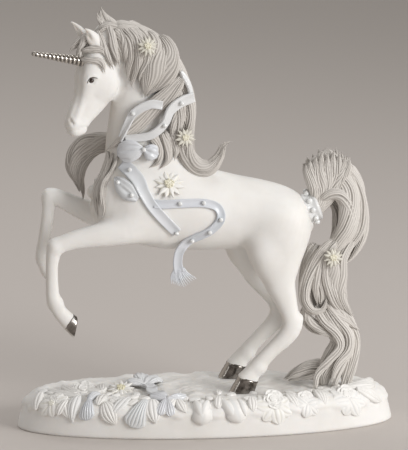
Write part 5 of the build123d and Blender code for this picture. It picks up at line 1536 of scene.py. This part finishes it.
flowers.append(spread((-70.2, 8.2), 9.8, 7, 0.5, 4.6, 0.9, 3, 0.35, 0.5))
flowers.append(spread((-150.0, 7.8), 7.4, 7, 0.2, 3.2, 0.8, 2, 0.45, 0.6))
points, faces, groove = together(flowers)
stick_up("plinth_petals", points, faces, petal_clay, "blossom", "base_blossoms", groove=0.6 * groove)
hearts = [heart(*yellow_place), heart(rim(-150.0, 2.0), out_of_the_rim(-150.0, 0.6), 4.5)]
points, faces, _ = together(hearts)
pale = np.concatenate([np.full(len(form[0]), share) for form, share in zip(hearts, (0.0, 0.7))])
stick_up("plinth_hearts", points, faces, heart_clay, "blossom_centre", "base_blossom_centres", pale=pale)

# Ribbon on the plinth: two bows of the same ribbon, pleated by hand, that lie on the ground between the
# leaves with their ends over the shoulder.
crown_loops = [
    [
        (-31.0, -2.0, 20.2, 1.2, 1.2), (-34.4, 0.0, 21.4, 3.6, 1.8), (-37.6, 1.4, 21.2, 4.0, 1.8),
        (-40.4, 1.8, 20.0, 1.4, 1.0),
    ],
    [
        (-30.6, -2.0, 20.2, 1.2, 1.2), (-27.4, 1.8, 21.8, 3.8, 1.8), (-24.2, 4.0, 21.8, 4.2, 1.9),
        (-21.4, 5.0, 20.2, 1.6, 1.0),
    ],
    [
        (-31.0, -1.0, 20.4, 1.2, 1.2), (-31.6, 5.0, 22.4, 3.6, 1.8), (-31.6, 9.0, 22.4, 3.8, 1.7),
        (-31.4, 12.0, 20.4, 1.4, 1.0),
    ],
]
# Lobes of the two bows on the rim: foot, tip, half width, swell, ribs and how far the blue is left off
rim_lobes = [
    ((-104.6, 3.0), (-110.6, -3.0), 3.4, 1.7, 5, 0.25), ((-104.2, 3.0), (-98.0, -1.0), 3.0, 1.5, 5, 0.35),
    ((-104.6, 3.0), (-106.2, 11.4), 2.8, 1.3, 4, 0.2), ((-104.0, 3.0), (-102.4, 12.0), 2.8, 1.3, 4, 0.4),
    ((-132.4, 5.0), (-131.0, 14.6), 4.4, 1.7, 6, 0.35), ((-132.6, 5.4), (-134.0, -4.6), 3.2, 1.6, 5, 0.45),
]
# The strip between the bows
crown_link = [
    (-30.0, -3.0, 20.2), (-27.6, -9.0, 21.0), (-28.4, -15.0, 20.6), (-25.4, -20.0, 20.8),
    (-24.0, -24.6, 20.2),
]
ground_pleats = dict(bow_pleats, ridges=7, depth=0.6)
folds, paleness = [], []
for i, loop in enumerate(crown_loops):
    folds.append(grooved(drawn_out(loop, 0.5), (0, 0, 1), seed=400 + i, **ground_pleats))
    paleness.append(0.6)
for i, (foot, tip, half_width, swell, ribs, pale) in enumerate(rim_lobes):
    folds.append(pressed_leaf(rim_skin, foot, tip, half_width, swell, ribs, 0.85, 0.5, 1.2 + 0.1 * (i % 3)))
    paleness.append(pale)
rows = drawn_out([(*point, 0, 0) for point in crown_link], 0.5)
rows[:, 2] += 0.5 * np.sin(np.arange(len(rows)) * 0.35)
facing = unit(np.stack([0 * rows[:, 0], 0.02 * rows[:, 1] + 0.3, 0 * rows[:, 0] + 1.0], axis=1))
folds.append(strip(rows[:, :3], facing, np.full(len(rows), 2.8), 0.9))
paleness.append(0.4)
points, faces, _ = together(folds)
pale = np.concatenate([np.full(len(form[0]), share) for form, share in zip(folds, paleness)])
stick_up("ground_ribbon", points, faces, ribbon, "ribbon", "base_ribbon", pale=pale)

# Floor: a wide round of pale taupe paper, with painted light that darkens it away from the figure. Soft boxes
# stand at the right, above, at the left and behind, and the camera, on a long lens, a little left of the
# middle and above.
paper_near, paper_far, room_dark = (0.58, 0.537, 0.503, 1), (0.42, 0.388, 0.36, 1), (0.335, 0.305, 0.28, 1)
paper_radius, paper_sides, paper_lit_to, paper_dim_from = 8.0, 96, 0.25, 1.2
paper, tree, shader = shader_of("paper_round")
place = tree.nodes.new("ShaderNodeTexCoord")
reach = tree.nodes.new("ShaderNodeVectorMath")
reach.operation = "LENGTH"
tree.links.new(place.outputs["Object"], reach.inputs[0])
span = tree.nodes.new("ShaderNodeMapRange")
span.interpolation_type = "SMOOTHSTEP"
span.inputs["From Min"].default_value, span.inputs["From Max"].default_value = paper_lit_to, paper_dim_from
tree.links.new(reach.outputs["Value"], span.inputs["Value"])
# Painted light: the paper's colour falls from near to far, as the light falls off
taupe = between(tree, span.outputs["Result"], paper_near, paper_far, 0.0, 1.0)
tree.links.new(taupe, shader.inputs["Base Color"])
shader.inputs["Roughness"].default_value = 0.9
shader.inputs["Specular IOR Level"].default_value = 0.1
turns = np.linspace(0, 2 * math.pi, paper_sides, endpoint=False)
points = [(paper_radius * math.cos(a), paper_radius * math.sin(a), 0.0) for a in turns]
mesh = bpy.data.meshes.new("paper_round")
mesh.from_pydata(points, [], [tuple(range(paper_sides))])
mesh.materials.append(paper)
floor = bpy.data.objects.new("paper_round", mesh)
bpy.context.scene.collection.objects.link(floor)


def soft_box(name, place, aim, size, power):
    """A lamp with a diffuser, aimed at a point."""
    lamp = bpy.data.lights.new(name, "AREA")
    lamp.shape = "RECTANGLE"
    lamp.size, lamp.size_y = size
    lamp.energy = power
    lamp_object = bpy.data.objects.new(name, lamp)
    lamp_object.location = place
    away = np.array(place, float) - np.array(aim, float)
    lamp_object.rotation_mode = "QUATERNION"
    lamp_object.rotation_quaternion = Vector(away).to_track_quat("Z", "Y")
    bpy.context.scene.collection.objects.link(lamp_object)


# Place, aim, size in metres and power in watts
soft_box("key", (0.9, -0.85, 0.5), (0, 0, 0.1), (0.6, 0.6), 12.4)
soft_box("top", (0.1, 0.1, 1.25), (0, 0, 0.1), (0.5, 0.5), 2.4)
soft_box("fill", (0.4, -1.2, 0.3), (0, 0, 0.05), (0.8, 0.6), 1.2)
soft_box("glint", (-0.85, -0.4, 0.5), (0, 0, 0.1), (0.1, 0.5), 0.5)
soft_box("wash", (-0.5, 0.95, 1.1), (-0.5, 1.0, 0), (1.2, 0.7), 4.8)
room_light, room_strength = (0.62, 0.60, 0.585, 1), 0.54
world = bpy.data.worlds.new("room")
world.use_nodes = True
tree = world.node_tree
lit = tree.nodes["Background"]
lit.inputs["Color"].default_value = room_light
lit.inputs["Strength"].default_value = room_strength
seen = tree.nodes.new("ShaderNodeBackground")
seen.inputs["Color"].default_value = room_dark
rays = tree.nodes.new("ShaderNodeLightPath")
either = tree.nodes.new("ShaderNodeMath")
either.operation = "MAXIMUM"
tree.links.new(rays.outputs["Is Camera Ray"], either.inputs[0])
tree.links.new(rays.outputs["Is Glossy Ray"], either.inputs[1])
any_of = tree.nodes.new("ShaderNodeMath")
any_of.operation = "MAXIMUM"
tree.links.new(either.outputs["Value"], any_of.inputs[0])
tree.links.new(rays.outputs["Is Transmission Ray"], any_of.inputs[1])
choice = tree.nodes.new("ShaderNodeMixShader")
tree.links.new(any_of.outputs["Value"], choice.inputs["Fac"])
tree.links.new(lit.outputs["Background"], choice.inputs[1])
tree.links.new(seen.outputs["Background"], choice.inputs[2])
tree.links.new(choice.outputs["Shader"], tree.nodes["World Output"].inputs["Surface"])
bpy.context.scene.world = world
bpy.context.scene.view_settings.view_transform = "Standard"

camera_distance, frame_height, sensor_width = 2.5, 0.225, 36.0
view_way, view_middle = Vector((0.1018, 0.969, -0.2249)).normalized(), Vector((-0.0005, 0.0, 0.1017))
camera_data = bpy.data.cameras.new("camera")
camera_data.sensor_width = sensor_width
camera_data.lens = sensor_width * camera_distance / frame_height
camera = bpy.data.objects.new("camera", camera_data)
camera.location = view_middle - view_way * camera_distance
camera.rotation_mode = "QUATERNION"
camera.rotation_quaternion = view_way.to_track_quat("-Z", "Y")
camera_data.clip_start, camera_data.clip_end = 0.01, 20.0
bpy.context.scene.collection.objects.link(camera)
bpy.context.scene.camera = camera
